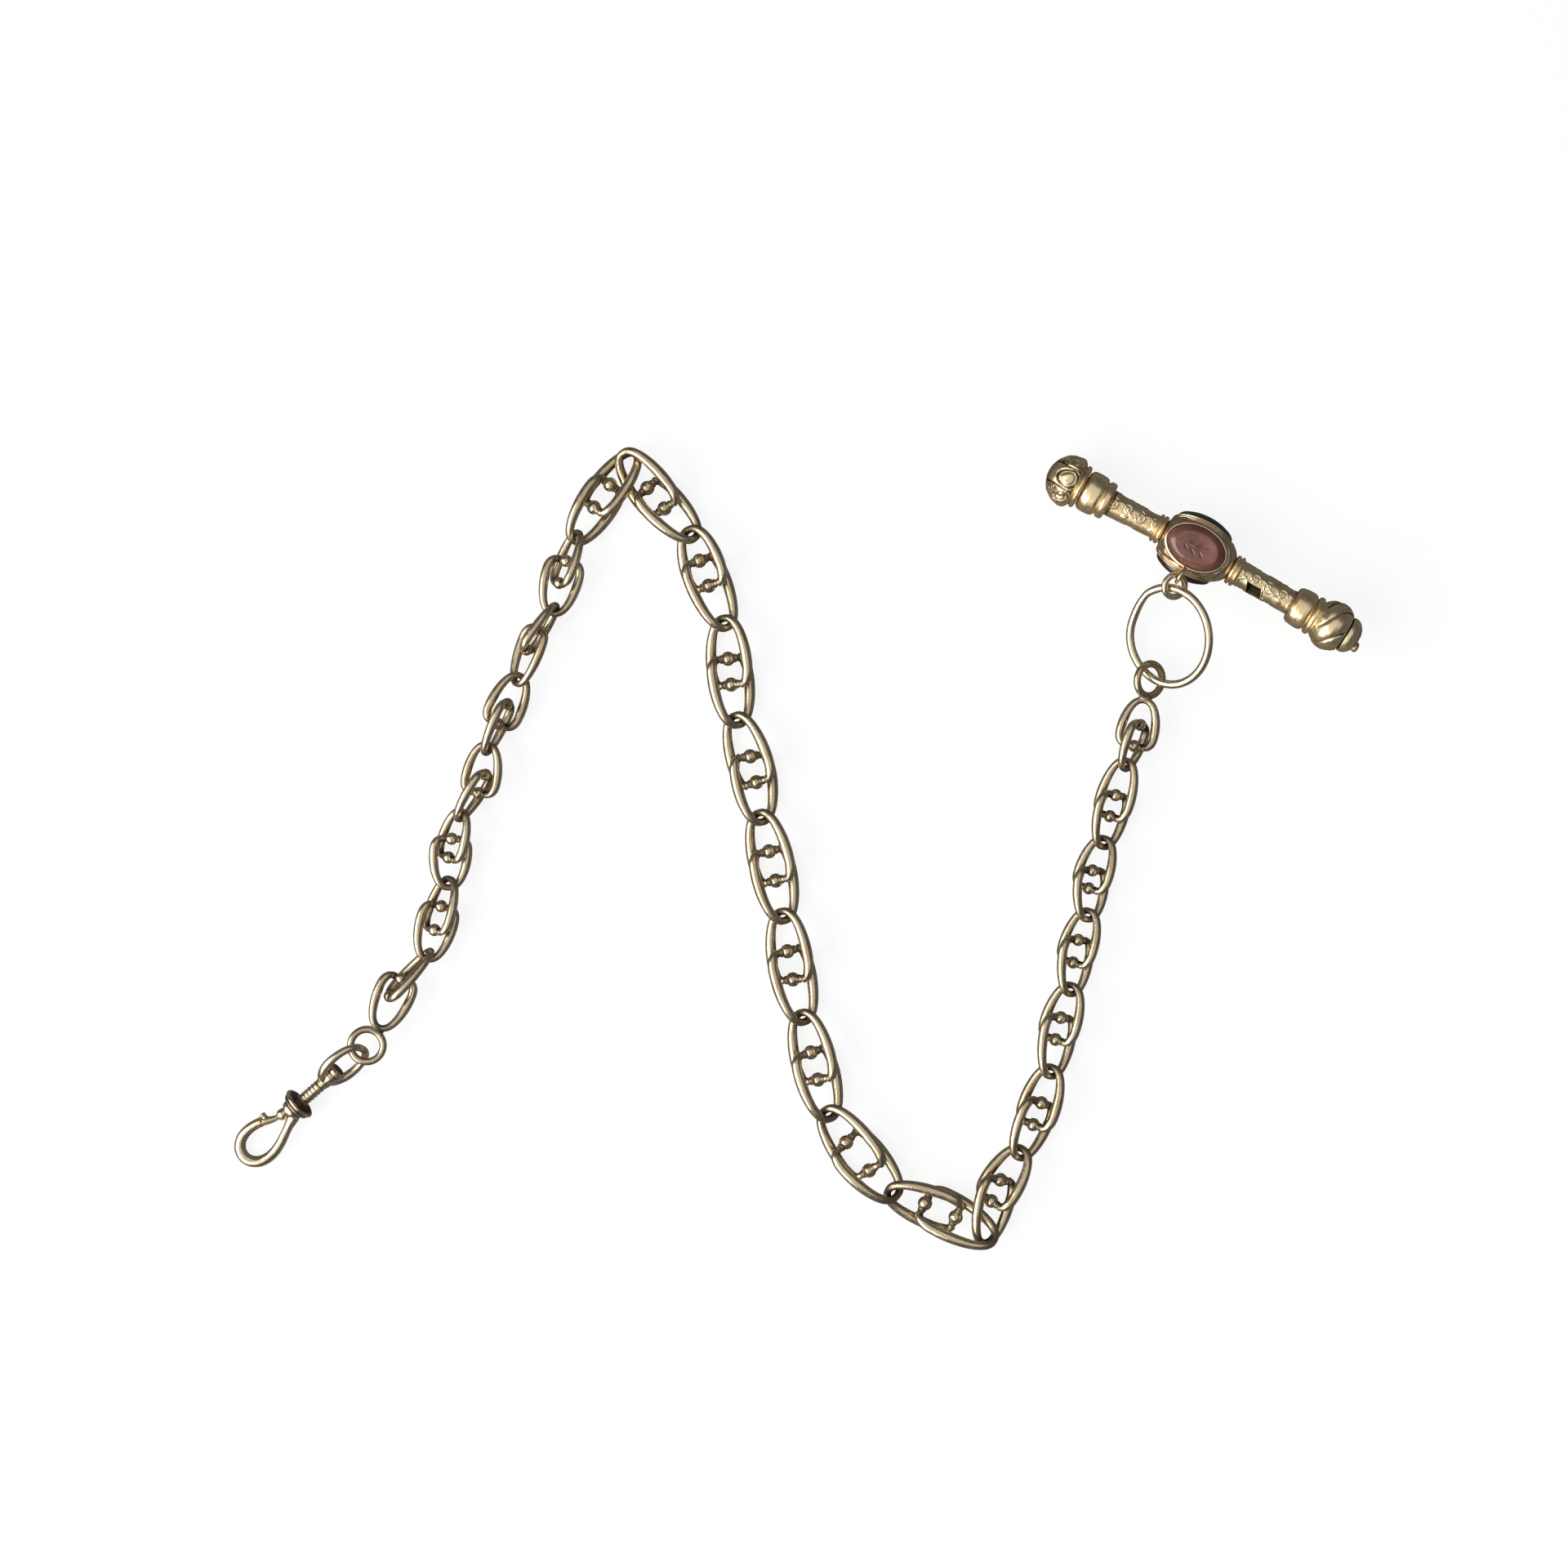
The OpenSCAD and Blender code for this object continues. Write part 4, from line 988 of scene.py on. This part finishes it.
stone_dirt = 0.55 * sprig(stone_grid[..., 0], stone_grid[..., 1]) * on_table
for k, (name, finish) in enumerate(STONES.items()):
    stone = Shell(stone_grid, stone_dirt).placed(turn("x", 120 * k), [SEAL_SHIFT, 0, 0])
    stone.placed(SEAL_TURN, BAR_AT)
    piece(name + "_oval", [stone], finish, "root", "stone_" + name)
print("pieces:", len(TRIANGLES), "triangles:", sum(TRIANGLES))

# %% [markdown]
# ## Floor, light and camera
# The chain lies on a white sheet under soft light. Polished gold shows what stands round it, so
# a bright room would make it flat and pale. Here the room is dark: one large soft panel low on
# the left draws the cream stripe on every wire, a dim one overhead gives the brown middle, and
# the right side falls off to a dark brown. The sheet has to look white and still not flood the
# gold from below, so the camera sees it, and the wall behind it, brighter than the metal does.

# %% Floor
SHEET_HALF, SHEET_LOW = 1.5, -2e-5
floor_mesh = bpy.data.meshes.new("paper")
corners = [(-1, -1), (1, -1), (1, 1), (-1, 1)]
floor_mesh.from_pydata([(SHEET_HALF * x, SHEET_HALF * y, SHEET_LOW) for x, y in corners], [],
                       [(0, 1, 2, 3)])
floor = bpy.data.objects.new("paper", floor_mesh)
bpy.context.scene.collection.objects.link(floor)
paper = Recipe("white paper", {"Base Color": (0.21, 0.212, 0.216, 1), "Roughness": 0.9,
                               "Specular IOR Level": 0.1, "Emission Strength": 1.0})
seen = paper.add("LightPath", out="Is Camera Ray")
paper.done(Emission_Color=paper.blend((0, 0, 0, 1), (0.86, 0.86, 0.86, 1), seen))
floor_mesh.materials.append(paper.material)
print("sheet of %.0f m, %.2f mm under the chain" % (2 * SHEET_HALF, -SHEET_LOW / MM))


# %% Lights
def panel(name, place, size, power, colour):
    """A soft panel that faces the chain: its Z axis is the line from the chain to the panel."""
    lamp = bpy.data.lights.new(name, "AREA")
    lamp.shape, lamp.size, lamp.size_y = "RECTANGLE", size[0], size[1]
    lamp.energy, lamp.color = power, colour
    thing = bpy.data.objects.new(name, lamp)
    bpy.context.scene.collection.objects.link(thing)
    thing.location = place
    thing.rotation_euler = Vector(place).to_track_quat("Z", "Y").to_euler()
    print("%s: %.2f W" % (name, power))


panel("left softbox", (-0.54, -0.20, 0.40), (0.90, 0.52), 5.7, (1, 0.985, 0.93))
panel("top bounce", (-0.05, 0.05, 0.80), (1.10, 1.10), 2.25, (1, 0.98, 0.94))

# %% The dim room, seen white by the camera alone
world = bpy.data.worlds.new("studio")
world.use_nodes = True
dim = world.node_tree.nodes["Background"]
dim.inputs["Color"].default_value = (0.72, 0.77, 0.88, 1)
dim.inputs["Strength"].default_value = 0.125
white = world.node_tree.nodes.new("ShaderNodeBackground")
white.inputs["Color"].default_value = (1, 1, 1, 1)
which = world.node_tree.nodes.new("ShaderNodeMixShader")
ray = world.node_tree.nodes.new("ShaderNodeLightPath")
output = world.node_tree.nodes["World Output"]
join = world.node_tree.links.new
join(ray.outputs["Is Camera Ray"], which.inputs["Fac"])
join(dim.outputs["Background"], which.inputs[1])
join(white.outputs["Background"], which.inputs[2])
join(which.outputs["Shader"], output.inputs["Surface"])
bpy.context.scene.world = world

# %% Camera
# The frame is FRAME_WIDE across at the sheet, so the focal length is sensor * height / width.
FRAME_WIDE, CAMERA_UP, SENSOR = 0.2304, 0.42, 36
lens = bpy.data.cameras.new("camera")
lens.sensor_width, lens.lens = SENSOR, SENSOR * CAMERA_UP / FRAME_WIDE
lens.clip_start, lens.clip_end = 0.01, 10
camera = bpy.data.objects.new("camera", lens)
camera.location = (-0.00198, 0.00978, CAMERA_UP)
bpy.context.scene.collection.objects.link(camera)
bpy.context.scene.camera = camera
bpy.context.scene.view_settings.view_transform = "Standard"
print("lens: %.1f mm" % lens.lens)
